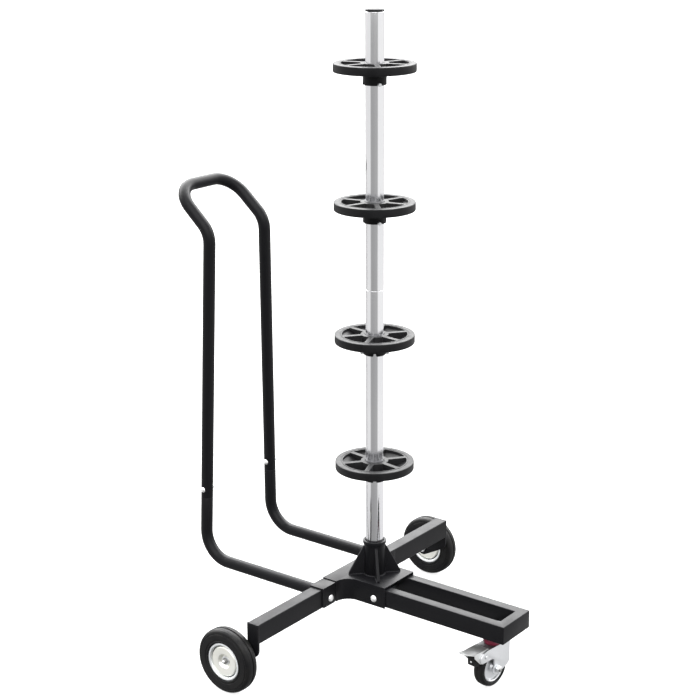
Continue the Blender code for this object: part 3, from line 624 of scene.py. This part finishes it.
def build_socket_welds():
    """Beads round the sleeve's foot and along both sides of each gusset."""
    foot = [Vector((x, y, PLATE_TOP + FIT)) for x, y in arc((0, 0), 0.0209, 0, 360, 41)]
    bead("weld_sleeve_foot", foot, 0.0013, "post_socket", AT_POST, closed=True)
    for number, turn in enumerate(GUSSET_TURNS, 1):
        for side, label in SIDES:
            run = [about_z(turn) @ Vector((r, side * 0.0028, PLATE_TOP + 0.0004)) for r in (0.0225, 0.049)]
            bead(f"weld_gusset_{number}_{label}", run, 0.0009, "post_socket", AT_POST)


def pin_heading(number):
    """Rotation about Z that points X along a cross pin."""
    pull = Vector(JOINTS[f"pin_{number}_pull"]["axis"])
    return Matrix.Rotation(math.atan2(pull.y, pull.x), 4, "Z")


def build_post():
    """Two chrome tubes joined end to end, drilled for the cross pins, with a plug on top."""
    radius, wall = 0.017, 0.0015
    for node, numbers in (("lower_post", (1, 2)), ("upper_post", (3, 4))):
        tube = ring(node, radius - wall, radius, low(node).z, high(node).z, 0.0005, SMOOTH)
        for number in numbers:
            along = pin_heading(number) @ AROUND_X
            drill(tube, SMALL_HOLE, (0, 0, middle(f"disc_pin_{number}").z), along, 0.03)
        stand_for(tube, node, place=AT_POST)
    top, plug, brim = high("post_cap").z, 0.0152, 0.0045
    section = [
        (0, top + 0.0001), (0.0150, top), (radius, top - 0.0012), (radius, top - brim),
        (plug, top - brim), (plug, top - 0.0165), (0, top - 0.0165),
    ]
    cap = lathe("cap", rounded(section, 0.0009, 4, (0, 6)), SMOOTH)
    stand_for(cap, "post_cap", place=AT_POST)


# How far each disc's notch is turned from the disc's own X, and how low the pin lies in it
NOTCH_TURNS = (105, 105, 15, 15)
PIN_DROP = high("disc_1").z - middle("disc_pin_1").z


def disc_pockets(foot):
    """Blind pockets between the spokes, with a conical floor; a small turn keeps edges from coinciding."""
    spokes, half, inner, outer, play = 6, 0.0045, 0.026, 0.061, 0.002
    windows = []
    for number in range(spokes):
        centre = (number + 0.5) * 360 / spokes
        wide = 180 / spokes - math.degrees(math.asin(half / outer))
        narrow = 180 / spokes - math.degrees(math.asin(half / inner))
        far = arc((0, 0), outer, centre - wide, centre + wide, 15)
        window = far + arc((0, 0), inner, centre + narrow, centre - narrow, 7)
        corners = (0, len(far) - 1, len(far), len(window) - 1)
        windows.append(rounded(window, 0.0025, 5, [i for i in range(len(window)) if i not in corners]))
    pockets = lathe("pockets", [
        (outer + play, 0.005), (outer + play, -0.0048), (inner - play, -0.0198), (inner - play, 0.005),
    ], SMOOTH)
    moved(pockets, turn=about_z(1.1))
    return combine(pockets, flat("windows", windows, -foot, 0.003), "INTERSECT")


def build_discs():
    """Dished support discs: rim, six spokes over blind pockets, and a hub notched for the pin."""
    radius, bore, hub, depth = 0.075, 0.0173, 0.0215, 0.039
    rim, skin, foot, wall, mouth = 0.0155, 0.004, 0.0235, 0.003, 0.0016
    outline = rounded([
        (radius, 0), (radius, -rim), (radius - wall, -rim), (radius - wall, -skin),
        (hub, -foot), (hub, -depth), (bore, -depth), (bore, -mouth), (bore + mouth, 0),
        (0.0630, 0), (0.0634, -0.0007), (0.0644, -0.0007), (0.0648, 0),
    ], 0.0014, 4, range(7, 13))
    disc = lathe("disc", outline, SMOOTH)
    cut(disc, disc_pockets(foot))
    arch = [(-SMALL_HOLE, -0.008), (SMALL_HOLE, -0.008), *arc((0, 0), SMALL_HOLE, 0, 180, 19)]
    for turn in sorted(set(NOTCH_TURNS)):
        notch = flat("notch", [arch], -0.03, 0.03)
        cut(disc, moved(notch, (0, 0, -PIN_DROP), about_z(turn) @ about_z(90) @ UPRIGHT))
    soften(disc, 0.0003, 2, 50)
    for number, turn in enumerate(NOTCH_TURNS, 1):
        node = f"disc_{number}"
        copy = new_object(node, disc.data.copy())
        turned = pin_heading(number) @ about_z(-turn)
        stand_for(copy, node, place=put((POST.x, POST.y, high(node).z), turned))
        node = f"disc_pin_{number}"
        pin = rod("pin", SMALL_BOLT, -0.027, 0.027, 32, 0.0006)
        stand_for(pin, node, place=put(middle(node), pin_heading(number) @ AROUND_X))
    bpy.data.objects.remove(disc)


def build_cross_tube():
    """Rectangular tube with rolled corners."""
    size, at = half_size("cross_tube"), middle("cross_tube")
    corner, wall = 0.0018, 0.002

    def section(inset, radius):
        wide, tall = size.y - inset, size.z - inset
        return rounded([(wide, tall), (-wide, tall), (-wide, -tall), (wide, -tall)], radius, 5)

    walls = [section(0, corner), section(wall, 0.0006)]
    tube = flat("tube", walls, low("cross_tube").x, high("cross_tube").x)
    moved(tube, (0, at.y, at.z), FROM_SECTION)
    for label in LABELS:
        bolt = middle(f"saddle_bolt_{label}")
        drill(tube, BOLT_HOLE, (bolt.x, low("cross_tube").y, bolt.z), UPRIGHT, 0.006)
    stand_for(tube, "cross_tube")


def build_wheel_brackets():
    """End plates that drop from the arm and sweep back to carry the wheel axles."""
    arm, axle = middle("cross_tube"), middle("tyre_left")
    front, top = -half_size("cross_tube").y, high("cross_tube").z
    drop, bend, eye = axle.y - arm.y, 0.018, 0.014
    outline = [(-front, top), (front, top)]
    outline += arc((front + bend, 0.088), bend, 180, 240, 14)
    outline += arc((drop, axle.z), eye, 245, 415, 28)
    outline.append((-front, low("cross_tube").z))
    for label in LABELS:
        node = f"wheel_bracket_{label}"
        thick = half_size(node).x
        plate = flat("plate", [outline], -thick, thick)
        drill(plate, BOLT_HOLE, (drop, axle.z, 0), Matrix(), 0.01)
        stand_for(soften(plate, 0.0005, 2), node, place=put((middle(node).x, arm.y, 0), FROM_SECTION))


def build_front_frame():
    """U-shaped tube frame with the caster's mounting plate between its bars."""
    (_, end, bottom), (out, back, top) = low("front_frame"), high("front_frame")
    bar, wall, plate_height, lap = 0.020, 0.002, 0.004, 0.001
    inn = out - bar

    def horseshoe(name, inset, rear, floor, roof):
        outline = [
            (out - inset, rear), (out - inset, end + inset),
            (inset - out, end + inset), (inset - out, rear),
            (-inn - inset, rear), (-inn - inset, end + bar - inset),
            (inn + inset, end + bar - inset), (inn + inset, rear),
        ]
        return flat(name, [outline], floor, roof)

    shell = soften(horseshoe("frame", 0, back, bottom, top), 0.0016, 4)
    cut(shell, horseshoe("hollow", wall, back + 0.01, bottom + wall, top - wall))
    swivel_y = middle("caster_stem_nut").y
    plate = block("plate", (-inn - lap, end + bar - lap, bottom + FIT),
                  (inn + lap, swivel_y + 0.026, bottom + plate_height))
    combine(shell, plate, "UNION")
    drill(shell, 0.0063, (0, swivel_y, bottom), Matrix(), 0.01)
    drill(shell, BOLT_HOLE, (0, FORK_BOLT.y, FORK_BOLT.z), AROUND_X, 0.06)
    stand_for(shell, "front_frame")


def build_fork_bolt():
    """Bolt through both skirts; its shank is painted dark, as shade, where it crosses the opening of the frame."""
    start, nut_start = low("fork_bolt").x + DOME_HEIGHT, low("fork_nut").x
    bolt = dome_bolt(BOLT_RADIUS, high("fork_bolt").x - start, DOME_RADIUS, DOME_HEIGHT, 0.012)
    stand_for(bolt, "fork_bolt", SATIN_ZINC, place=put((start, FORK_BOLT.y, FORK_BOLT.z), AROUND_X))
    # Shank inside the frame's opening painted dark as shade
    bolt.data.materials.append(DARK_STEEL_AND_SHADE)
    for face in bolt.data.polygons:
        if start + 0.002 < face.center.x < nut_start:
            face.material_index = 1
    lock = nut(BOLT_HOLE, NUT_RADIUS, nut_start, high("fork_nut").x, 0.0015)
    stand_for(lock, "fork_nut", place=put((0, FORK_BOLT.y, FORK_BOLT.z), AROUND_X))


def build_saddles():
    """U-shaped brackets over the cross tube at the foot of the handle, each with its bolt."""
    arm, sheet = middle("cross_tube"), 0.0025
    for label in LABELS:
        node, bolt_node = f"saddle_{label}", f"saddle_bolt_{label}"
        size, at, bolt_at = half_size(node), middle(node), middle(bolt_node)
        bottom, top, room = low(node).z, high(node).z, size.y - sheet
        corners = [(size.x, top), (-size.x, top), (-size.x, bottom), (size.x, bottom)]
        face = rounded(corners, 0.0035, 6, (0, 1))
        saddle = soften(upright("saddle", face, size.y), 0.0012, 3)
        cut(saddle, block("room", (-0.03, -room, 0.05), (0.03, room, top - sheet)))
        drill(saddle, BOLT_HOLE, (bolt_at.x - at.x, -room, bolt_at.z), LENGTHWISE, 0.006)
        stand_for(saddle, node, place=put((at.x, arm.y, 0)))
        start = low(bolt_node).y + DOME_HEIGHT
        bolt = dome_bolt(BOLT_RADIUS, high(bolt_node).y - start, DOME_RADIUS, DOME_HEIGHT, 0.006)
        stand_for(bolt, bolt_node, SATIN_ZINC, place=put((bolt_at.x, start, bolt_at.z), LENGTHWISE))


# -------------------- rear wheels

def tyre_outline(radius, half, seat):
    """Closed section of a solid tyre: bead, grooved side wall, shoulder and a split line round the tread."""
    wall = radius - seat
    side = (
        (0.13, 0), (0.16, 0.0009), (0.21, 0.0009), (0.24, 0.0001), (0.62, 0.0003),
        (0.655, 0.0013), (0.69, 0.0013), (0.72, 0.0006), (0.86, 0.0022),
    )
    upper = [
        (seat, half - 0.0035), (seat, half - 0.0012), (seat + 0.0012, half - 0.0001),
        *[(seat + share * wall, half - sunk) for share, sunk in side],
        (seat + 0.94 * wall, half * 0.70), (seat + 0.985 * wall, half * 0.45),
        (radius, 0.0022), (radius - 0.0002, 0.0014), (radius - 0.0022, 0.0008),
    ]
    return rounded([*upper, *mirrored(upper)], 0.0008, 4)


def rear_rim_outline():
    """Closed section of a pressed rim: the same dish on both faces, with a hub that is shallow outside."""
    shell = [
        (0.0365, 0.0124), (0.0354, 0.0130), (0.0330, 0.0129), (0.0317, 0.0120), (0.0308, 0.0072),
        (0.0294, 0.0072), (0.0284, 0.0104), (0.0272, 0.0113), (0.0140, 0.0104),
    ]
    hollow = [(0.0266, 0.0088), (0.0284, 0.0049), (0.0318, 0.0049), (0.0342, 0.0105)]
    shallow_hub = [(0.0102, 0.0048), (0.0070, 0.0048), (0.0070, 0.0026), (0.0112, 0.0026), (0.0150, 0.0080)]
    deep_hub = [(0.0106, 0.0136), (0.0070, 0.0136), (0.0070, 0.0080)]
    return rounded([*shell, *shallow_hub, *hollow, *mirrored([*shell, *deep_hub, *hollow])], 0.0009, 4)


def build_rear_wheels():
    """Rubber tyre on a dished rim with a bush; a groove painted dark as shade parts the rim's lip, painted lighter
    as a highlight, from its yellowish zinc.
    """
    groove_start, groove_end = 0.0290, 0.0312
    for side, label in SIDES:
        node = f"tyre_{label}"
        wheel, size = middle(node), half_size(node)
        axle = put(wheel, Matrix.Rotation(side * QUARTER, 4, "Y"))
        stand_for(lathe("tyre", tyre_outline(size.z, size.x, 0.0368), 160), node, place=axle)
        rim = lathe("rim", rear_rim_outline(), SMOOTH)
        stand_for(rim, f"rim_{label}", YELLOW_ZINC, place=axle)
        # Lip painted lighter as a highlight, groove painted dark as shade
        rim.data.materials.append(LIP_HIGHLIGHT_ZINC)
        rim.data.materials.append(DARK_STEEL_AND_SHADE)
        for face in rim.data.polygons:
            distance = (face.center - wheel).yz.length
            if distance > groove_end:
                face.material_index = 1
            elif distance > groove_start:
                face.material_index = 2
        bush = ring("bush", BOLT_HOLE, 0.0067, -0.0136, 0.0048, 0.0004)
        stand_for(bush, f"wheel_bush_{label}", place=axle)


def build_rear_axles():
    """Stepped axle bolts, with a spacer behind each wheel and a washer and a nut outside it."""
    for side, label in SIDES:
        wheel = middle(f"tyre_{label}")
        outward = Matrix.Rotation(side * QUARTER, 4, "Y")

        def inner_end(node):
            return low(node).x if side > 0 else high(node).x

        washer = ring("washer", SMALL_HOLE, 0.0085, -0.0008, 0.0008, 0.0003)
        stand_for(washer, f"axle_washer_{label}", place=put(wheel, outward) @ put((0, 0, 0.0059)))
        node = f"axle_spacer_{label}"
        tall = half_size(node).x
        spacer = ring("spacer", BOLT_HOLE, 0.0080, -tall, tall, 0.0004)
        stand_for(spacer, node, place=put(middle(node), outward))
        node = f"axle_bolt_{label}"
        length = 2 * half_size(node).x - HEX_HEAD
        shoulder = abs(wheel.x) + 0.00495 - abs(inner_end(node)) - HEX_HEAD
        thread = threaded(SMALL_BOLT, shoulder + 0.001, length, 0.001)
        bolt = hex_bolt([*thread, (SMALL_BOLT, shoulder), (BOLT_RADIUS, shoulder)], NUT_RADIUS, HEX_HEAD)
        stand_for(bolt, node, place=put((inner_end(node) + side * HEX_HEAD, wheel.y, wheel.z), outward))
        node = f"axle_nut_{label}"
        lock = nut(SMALL_HOLE, 0.0058, 0, 2 * half_size(node).x, 0.0012)
        stand_for(lock, node, DULL_STEEL, place=put((inner_end(node), wheel.y, wheel.z), outward))


# -------------------- push handle

def flipped(point, side):
    return Vector((side * point.x, point.y, point.z))


def build_handle():
    """Two bent foot tubes with reduced ends that plug into one bent top tube."""
    radius, wall, play = 0.012, 0.0015, 0.0008
    foot_corner = Vector((0.1022, POST.y + 0.346, 0.1243))
    lean_corner = Vector((0.0813, POST.y + 0.3315, 0.7884))
    grip_corner = Vector((0.0797, POST.y + 0.4185, 0.8656))
    start = Vector((0.1008, high("saddle_left").y + FIT, 0.1243))
    rise = (lean_corner - foot_corner).normalized()

    def on_upright(height):
        share = (height - foot_corner.z) / (lean_corner.z - foot_corner.z)
        return foot_corner.lerp(lean_corner, share)

    seam, bolt_at = on_upright(0.250), on_upright(0.269)
    slim = (radius - wall - play) / radius
    foot = [(point, 1.0) for point in [start, *rounded_corner(start, foot_corner, seam, 0.056, 20)]]
    foot += [(seam - rise * 0.0008, 1.0), (seam, 0.96)]
    foot += [(seam + rise * 0.0003, slim), (seam + rise * 0.042, slim)]
    for side, label in SIDES:
        tube = sweep("foot", [(flipped(point, side), factor) for point, factor in foot], radius, wall)
        drill(tube, SMALL_HOLE, flipped(bolt_at, side), AROUND_X, 0.02)
        stand_for(tube, f"handle_foot_{label}")
    right = [seam + rise * 0.0006]
    right += rounded_corner(right[0], lean_corner, grip_corner, 0.0486, 20)
    centre = Vector((0, grip_corner.y, grip_corner.z))
    right += rounded_corner(lean_corner, grip_corner, centre, 0.0509, 24)
    path = right + [flipped(point, -1) for point in reversed(right)]
    top = sweep("top", [(point, 1.0) for point in path], radius, wall)
    seat, head, small_nut = radius + 2 * FIT, 0.0032, 0.0055
    for side, label in SIDES:
        at, node = flipped(bolt_at, side), f"handle_bolt_{label}"
        drill(top, SMALL_HOLE, at, AROUND_X, 0.02)
        bolt = dome_bolt(SMALL_BOLT, high(node).x - at.x + seat, small_nut, head, 0.008)
        stand_for(bolt, node, SATIN_ZINC, place=put(at - Vector((seat, 0, 0)), AROUND_X))
        lock = nut(SMALL_HOLE, small_nut, seat, seat + 0.005, 0.0013)
        stand_for(lock, f"handle_nut_{label}", place=put(at, AROUND_X))
    stand_for(top, "handle_top")
    for side, label in SIDES:
        circle = arc((side * start.x, start.z), 0.0117, 0, 360, 33)
        collar = [Vector((x, start.y + 0.0003, z)) for x, z in circle]
        bead(f"weld_handle_foot_{label}", collar, 0.0014, f"handle_foot_{label}", closed=True)


# -------------------- swivel caster

def pivot_of(joint):
    return Vector(JOINTS[joint]["pos_m"])


SWIVEL = Vector((*middle("caster_stem_nut").xy, 0))
WHEEL_AXIS = Vector(JOINTS["caster_wheel_spin"]["axis"])
AT_SWIVEL = Matrix.Translation(SWIVEL)
TURNED = AT_SWIVEL @ Matrix.Rotation(math.atan2(WHEEL_AXIS.x, -WHEEL_AXIS.y), 4, "Z")
TRAIL = (pivot_of("caster_wheel_spin").xy - SWIVEL.xy).length
CASTER_RADIUS = pivot_of("caster_wheel_spin").z
PEDAL_BACK = (pivot_of("brake_pedal_press").xy - SWIVEL.xy).length
PEDAL_PIVOT = Vector((-PEDAL_BACK, 0, pivot_of("brake_pedal_press").z))
PEDAL_PIN = 0.0025
YOKE_TOP = high("caster_yoke").z
YOKE_HALF, YOKE_SHEET = 0.017, 0.0025
STEM_HOLE = 0.0063


def build_caster_head():
    """Fixed bearing and stem bolt under the fork, and the seal that turns with the yoke."""
    ceiling, floor = high("caster_race").z, low("caster_race").z
    seal_floor, seal_top = low("swivel_seal").z, high("swivel_seal").z
    flange, neck, stem_length, seal_radius = 0.022, 0.0125, 0.038, 0.019
    race = lathe("race", rounded([
        (flange, ceiling), (flange, seal_top + FIT), (neck, seal_top + FIT), (neck, floor),
        (STEM_HOLE, floor), (STEM_HOLE, ceiling),
    ], 0.0006, 3), FINE)
    stand_for(race, "caster_race", place=AT_SWIVEL)
    stem = hex_bolt(threaded(0.006, 0.026, stem_length), 0.0095, 0.0055)
    stem_at = SWIVEL + Vector((0, 0, high("caster_stem_bolt").z - stem_length))
    stand_for(stem, "caster_stem_bolt", DARK_STEEL_AND_SHADE, place=put(stem_at))
    lock = nut(STEM_HOLE, 0.0105, low("caster_stem_nut").z, high("caster_stem_nut").z, 0.002)
    stand_for(lock, "caster_stem_nut", DARK_STEEL_AND_SHADE, place=AT_SWIVEL)
    boot = arc((0, 0), seal_radius, -90, 90, 33) + arc((-0.0154, 0), seal_radius, 90, 270, 33)
    seal = flat("seal", [boot], seal_floor, seal_top)
    for vertex in seal.data.vertices:
        if vertex.co.z < seal_top - WELD:
            vertex.co.xy *= 0.9
    soften(seal, 0.0012, 4)
    cut(seal, rod("room", 0.0131, 0.07, 0.12, 64))
    stand_for(seal, "swivel_seal", place=TURNED)


def build_yoke():
    """Pressed yoke: a round-nosed channel trimmed to its side outline, and the pin of its pedal."""
    front, rear, corner, crown_back = 0.0221, -0.0684, 0.009, -0.0424

    def channel(name, inset, back, bottom, top):
        radius = corner - inset
        nose, half = front - corner, YOKE_HALF - corner
        plan = arc((nose, -half), radius, -90, 0, 14) + arc((nose, half), radius, 0, 90, 14)
        return flat(name, [plan + [(back, YOKE_HALF - inset), (back, inset - YOKE_HALF)]], bottom, top)

    yoke = soften(channel("yoke", 0, rear, 0.01, YOKE_TOP), 0.0022, 4)
    cut(yoke, channel("room", YOKE_SHEET, rear - 0.01, 0, YOKE_TOP - YOKE_SHEET))
    side = [
        (front + 0.001, YOKE_TOP + 0.001), (front + 0.001, 0.058), (0.019, 0.045), (0.010, 0.0366),
        *arc((-TRAIL, CASTER_RADIUS), 0.012, -60, -180, 16), (-0.0286, 0.045), (-0.0290, 0.0590),
        (-0.0320, 0.0625), *arc((-0.062, 0.0685), 0.006, -90, -180, 9), (-0.068, 0.0745),
        (-0.060, 0.0815), (crown_back - 0.003, YOKE_TOP + 0.001),
    ]
    combine(yoke, upright("outline", rounded(side, 0.0025, 4, range(4, 20)), 0.03), "INTERSECT")
    width = YOKE_HALF - YOKE_SHEET
    cut(yoke, block("front", (0, -width, 0), (0.03, width, 0.062)))
    cut(yoke, block("back", (-0.1, -width, 0.05), (crown_back, width, 0.1)))
    drill(yoke, 0.0066, (0, 0, YOKE_TOP), Matrix(), 0.01)
    drill(yoke, BOLT_HOLE, (-TRAIL, 0, CASTER_RADIUS), UPRIGHT, 0.03)
    drill(yoke, PEDAL_PIN + FIT, PEDAL_PIVOT, UPRIGHT, 0.03)
    stand_for(soften(yoke, 0.00035, 2, 50), "caster_yoke", YOKE_ZINC_SHADED_TOP, place=TURNED)
    length = 2 * YOKE_HALF + 2 * FIT
    pin = lathe("pin", rounded([
        (0, length), (PEDAL_PIN, length), (PEDAL_PIN, 0), (0.0040, 0), (0.0036, -0.0012), (0, -0.0015),
    ], 0.0003, 3, (0, 5)), 48)
    pin_start = PEDAL_PIVOT - Vector((0, length / 2, 0))
    stand_for(pin, "pedal_pin", place=TURNED @ put(pin_start, LENGTHWISE))


def caster_tyre_outline():
    """Closed section of the caster's tyre, with a split line round its tread."""
    radius, half, seat = CASTER_RADIUS, 0.0115, 0.0283
    upper = [
        (seat, half - 0.003), (seat + 0.0006, half - 0.0006), (seat + 0.0022, half),
        (radius - 0.0038, half - 0.0003), (radius - 0.0012, half - 0.0025), (radius - 0.0003, half * 0.5),
        (radius, 0.0012), (radius - 0.0010, 0.0005),
    ]
    return rounded([*upper, *mirrored(upper)], 0.0009, 4)


def build_caster_wheel():
    """Tyre, rim and bush on a bolt between the yoke's cheeks."""
    axle = TURNED @ put((-TRAIL, 0, CASTER_RADIUS), UPRIGHT)
    stand_for(lathe("tyre", caster_tyre_outline(), SMOOTH), "caster_tyre", place=axle)
    upper = [
        (0.0264, 0.0078), (0.0240, 0.0036), (0.0218, 0.0033), (0.0063, 0.0045), (0.0063, 0.0110),
        (0.0080, 0.0110), (0.0090, 0.0068), (0.0215, 0.0052), (0.0236, 0.0055), (0.0252, 0.0095),
        (0.0268, 0.0102), (0.0280, 0.0095),
    ]
    rim = lathe("rim", rounded([*upper, *mirrored(upper)], 0.0008, 4), FINE)
    stand_for(rim, "caster_rim", YOKE_ZINC_SHADED_TOP, place=axle)
    tall = YOKE_HALF - YOKE_SHEET - 2 * FIT
    stand_for(ring("bush", BOLT_HOLE, 0.006, -tall, tall, 0.0004, 48), "caster_bush", place=axle)
    seat = YOKE_HALF + FIT
    length = 2 * seat + 0.009
    bolt = hex_bolt(threaded(BOLT_RADIUS, length - 0.010, length), NUT_RADIUS, HEX_HEAD)
    stand_for(bolt, "caster_axle_bolt", DULL_STEEL, place=axle @ put((0, 0, -seat)))
    lock = nut(BOLT_HOLE, NUT_RADIUS, seat, seat + 0.0065, 0.0016)
    stand_for(lock, "caster_axle_nut", place=axle)


def build_brake():
    """Foot pedal that swings down on its pin and presses the riveted shoe against the tyre."""
    place = TURNED @ Matrix.Translation(PEDAL_PIVOT)
    skin, top, bend, lift, half = 0.0018, 0.0135, -0.0300, 0.0070, 0.0142
    nose, tip, end = 0.0080, -0.1044 + PEDAL_BACK, top + lift
    side = rounded([
        (nose, top), (bend, top), (tip, end), (tip - 0.0005, end - skin),
        (bend - 0.0005, top - skin), (-0.0290, 0.0050), (-0.0140, -0.0105), (-0.0090, -0.0115),
        *arc((0, 0), 0.0065, -70, 20, 14), (nose, top - skin),
    ], 0.0012, 4, (2, 3, *range(8, 22)))
    pedal = soften(upright("pedal", side, half), 0.0006, 2, 60)
    under = [
        (0.0200, top - skin), (bend, top - skin), (tip - 0.02, end - skin + 0.0064),
        (tip - 0.02, -0.02), (0.0200, -0.02),
    ]
    cut(pedal, upright("under", under, half - skin))
    plan = [(0.02, -0.02), (0.02, 0.02), (bend, 0.02), (bend, half + WELD)]
    plan += arc((tip + 0.006, 0.0035), 0.006, 90, 180, 12)
    plan += [(x, -y) for x, y in reversed(plan[2:])]
    combine(pedal, flat("plan", [plan], -0.03, 0.04), "INTERSECT")
    drill(pedal, PEDAL_PIN + FIT, (0, 0, 0), UPRIGHT, 0.03)
    stand_for(soften(pedal, 0.0003, 2, 50), "brake_pedal", PEDAL_ZINC_SHADED_TOP, place=place)
    shoe_top, shoe_front, shoe_back = top - skin - FIT, -0.0046, -0.0250
    shoe = rounded([
        (shoe_front, shoe_top), (shoe_back, shoe_top), (shoe_back, -0.0130), (-0.0190, -0.0170),
        (-0.0100, -0.0190), (-0.0060, -0.0120), (shoe_front, 0.0040),
    ], 0.0012, 4)
    stand_for(soften(upright("shoe", shoe, 0.007), 0.0006, 3), "brake_shoe", place=place)
    rivet = rod("shoe_rivet", 0.0019, -0.002, 0.0008, 32, 0.0004)
    rivet_at = put((shoe_back, -0.0012, -0.0058), Matrix.Rotation(-QUARTER, 4, "Y"))
    dress(rivet, ZINC, BODY_OF["brake_shoe"], "zinc", place @ rivet_at)
    rivet.data.set_sharp_from_angle(angle=CREASE)


# -------------------- studio

# Level directions from the object to the camera and to the camera's right
TO_CAMERA = Vector((-0.797, -0.604, 0))
TO_RIGHT = Vector((0.604, -0.797, 0))

CAMERA_AT = (-2.3967, -1.8091, 1.4963)
CAMERA_PITCH, CAMERA_TURN, CAMERA_ROLL = math.radians(73.12), math.radians(-52.89), math.radians(-0.24)
CAMERA_LENS = 85.54

# How bright each part of the studio is to a surface
LEFT_LEVEL, RIGHT_LEVEL = 1.15, 1.28
FRONT_SHARE = 0.46
BEHIND_SHARE = 0.40
BELOW_SHARE = 0.5
BACK_GLOW = 14.0
FRONT_GLOW = 5.0
EXPOSURE = 0.8

# How much of what the camera sees of the floor is its own light
SELF_LIT = 0.72


class Sky(Nodes):
    """Studio surroundings as a function of direction: what a shiny surface sees."""

    def __init__(self):
        world = bpy.data.worlds.new("studio")
        bpy.context.scene.world = world
        super().__init__(world)
        self.nodes.clear()
        self.direction = self.add("TexCoord", "Generated")

    def along(self, axis):
        return self.vectors("DOT_PRODUCT", self.direction, axis)

    def step(self, value, start, end, first=0.0, last=1.0):
        inputs = {"Value": value, "From Min": start, "From Max": end, "To Min": first, "To Max": last}
        return self.add("MapRange", "Result", inputs, interpolation_type="SMOOTHSTEP")

    def times(self, one, two):
        return self.maths("MULTIPLY", one, two)


def build_world():
    """White to the camera; to surfaces a bright back, bright sides and a dim front."""
    sky = Sky()
    front, right, up = sky.along(TO_CAMERA), sky.along(TO_RIGHT), sky.along((0, 0, 1))
    turn = sky.maths("ARCTAN2", right, front)
    dim_left = sky.step(turn, math.radians(-58), math.radians(-46))
    dim_right = sky.step(turn, math.radians(42), math.radians(32))
    dim = sky.times(dim_left, dim_right)
    sides = sky.step(right, -0.3, 0.3, LEFT_LEVEL, RIGHT_LEVEL)
    level = sky.times(sides, sky.step(dim, 0.0, 1.0, 1.0, FRONT_SHARE))
    level = sky.times(level, sky.step(front, -0.72, -0.94, 1.0, BEHIND_SHARE))
    back = sky.times(sky.step(front, 0.1, -0.6), sky.step(up, 0.11, 0.40))
    level = sky.maths("ADD", level, sky.times(back, BACK_GLOW))
    above = sky.times(dim, sky.step(up, 0.16, 0.44))
    level = sky.maths("ADD", level, sky.times(above, FRONT_GLOW))
    level = sky.times(level, sky.step(up, -0.9, -0.4, BELOW_SHARE, 1.0))
    shown = sky.step(sky.add("LightPath", "Is Camera Ray"), 0.0, 1.0)
    keep = sky.times(sky.maths("SUBTRACT", 1.0, shown), EXPOSURE)
    level = sky.maths("ADD", sky.times(level, keep), shown)
    background = sky.add("Background", "Background", {"Color": (1.0, 1.0, 1.0, 1.0), "Strength": level})
    sky.add("OutputWorld", None, {"Surface": background})


def build_floor():
    """Pale paper floor; it shows nearly white and takes only a faint shadow."""
    bm = bmesh.new()
    bmesh.ops.create_grid(bm, x_segments=1, y_segments=1, size=30.0)
    floor = object_from("floor", bm)
    paper = bpy.data.materials.new("floor_paper")
    tree = Nodes(paper)
    tree.nodes.clear()
    share = tree.maths("MULTIPLY", tree.add("LightPath", "Is Camera Ray"), SELF_LIT)
    diffuse = tree.add("BsdfDiffuse", "BSDF", {"Color": (0.93, 0.93, 0.93, 1.0)})
    glow = tree.add("Emission", "Emission", {"Strength": 1.05})
    mix = tree.add("MixShader", "Shader", {"Fac": share, 1: diffuse, 2: glow})
    tree.add("OutputMaterial", None, {"Surface": mix})
    floor.data.materials.append(paper)
    floor.location.z = -0.0002
    floor.visible_glossy = False
    floor.visible_diffuse = False


def build_lights():
    """Large soft light, high on the right."""
    data = bpy.data.lights.new("soft_box", "AREA")
    data.shape = "SQUARE"
    data.size = 1.6
    data.energy = 26.0
    light = new_object("soft_box", data)
    light.location = (0.6, -2.4, 2.6)
    light.rotation_euler = (Vector((0, 0, 0.4)) - light.location).to_track_quat("-Z", "Y").to_euler()


def build_camera():
    """Camera off the dolly's front left, looking slightly down."""
    data = bpy.data.cameras.new("camera")
    data.lens = CAMERA_LENS
    data.sensor_width = 36.0
    data.clip_end = 100.0
    camera = new_object("camera", data)
    aim = Matrix.Rotation(CAMERA_TURN, 4, "Z") @ Matrix.Rotation(CAMERA_PITCH, 4, "X")
    camera.matrix_world = put(CAMERA_AT, aim @ Matrix.Rotation(CAMERA_ROLL, 4, "Z"))
    bpy.context.scene.camera = camera
    bpy.context.scene.view_settings.view_transform = "Standard"


build_hub_bracket()
build_post_socket()
build_socket_welds()
build_post()
build_discs()
build_cross_tube()
build_wheel_brackets()
build_front_frame()
build_fork_bolt()
build_saddles()
build_rear_wheels()
build_rear_axles()
build_handle()
build_caster_head()
build_yoke()
build_caster_wheel()
build_brake()
for name, node in frame["nodes"].items():
    node.data.materials.clear()
    node.data.materials.append(BY_SLOT[SLOT_OF[name]])
build_world()
build_floor()
build_lights()
build_camera()
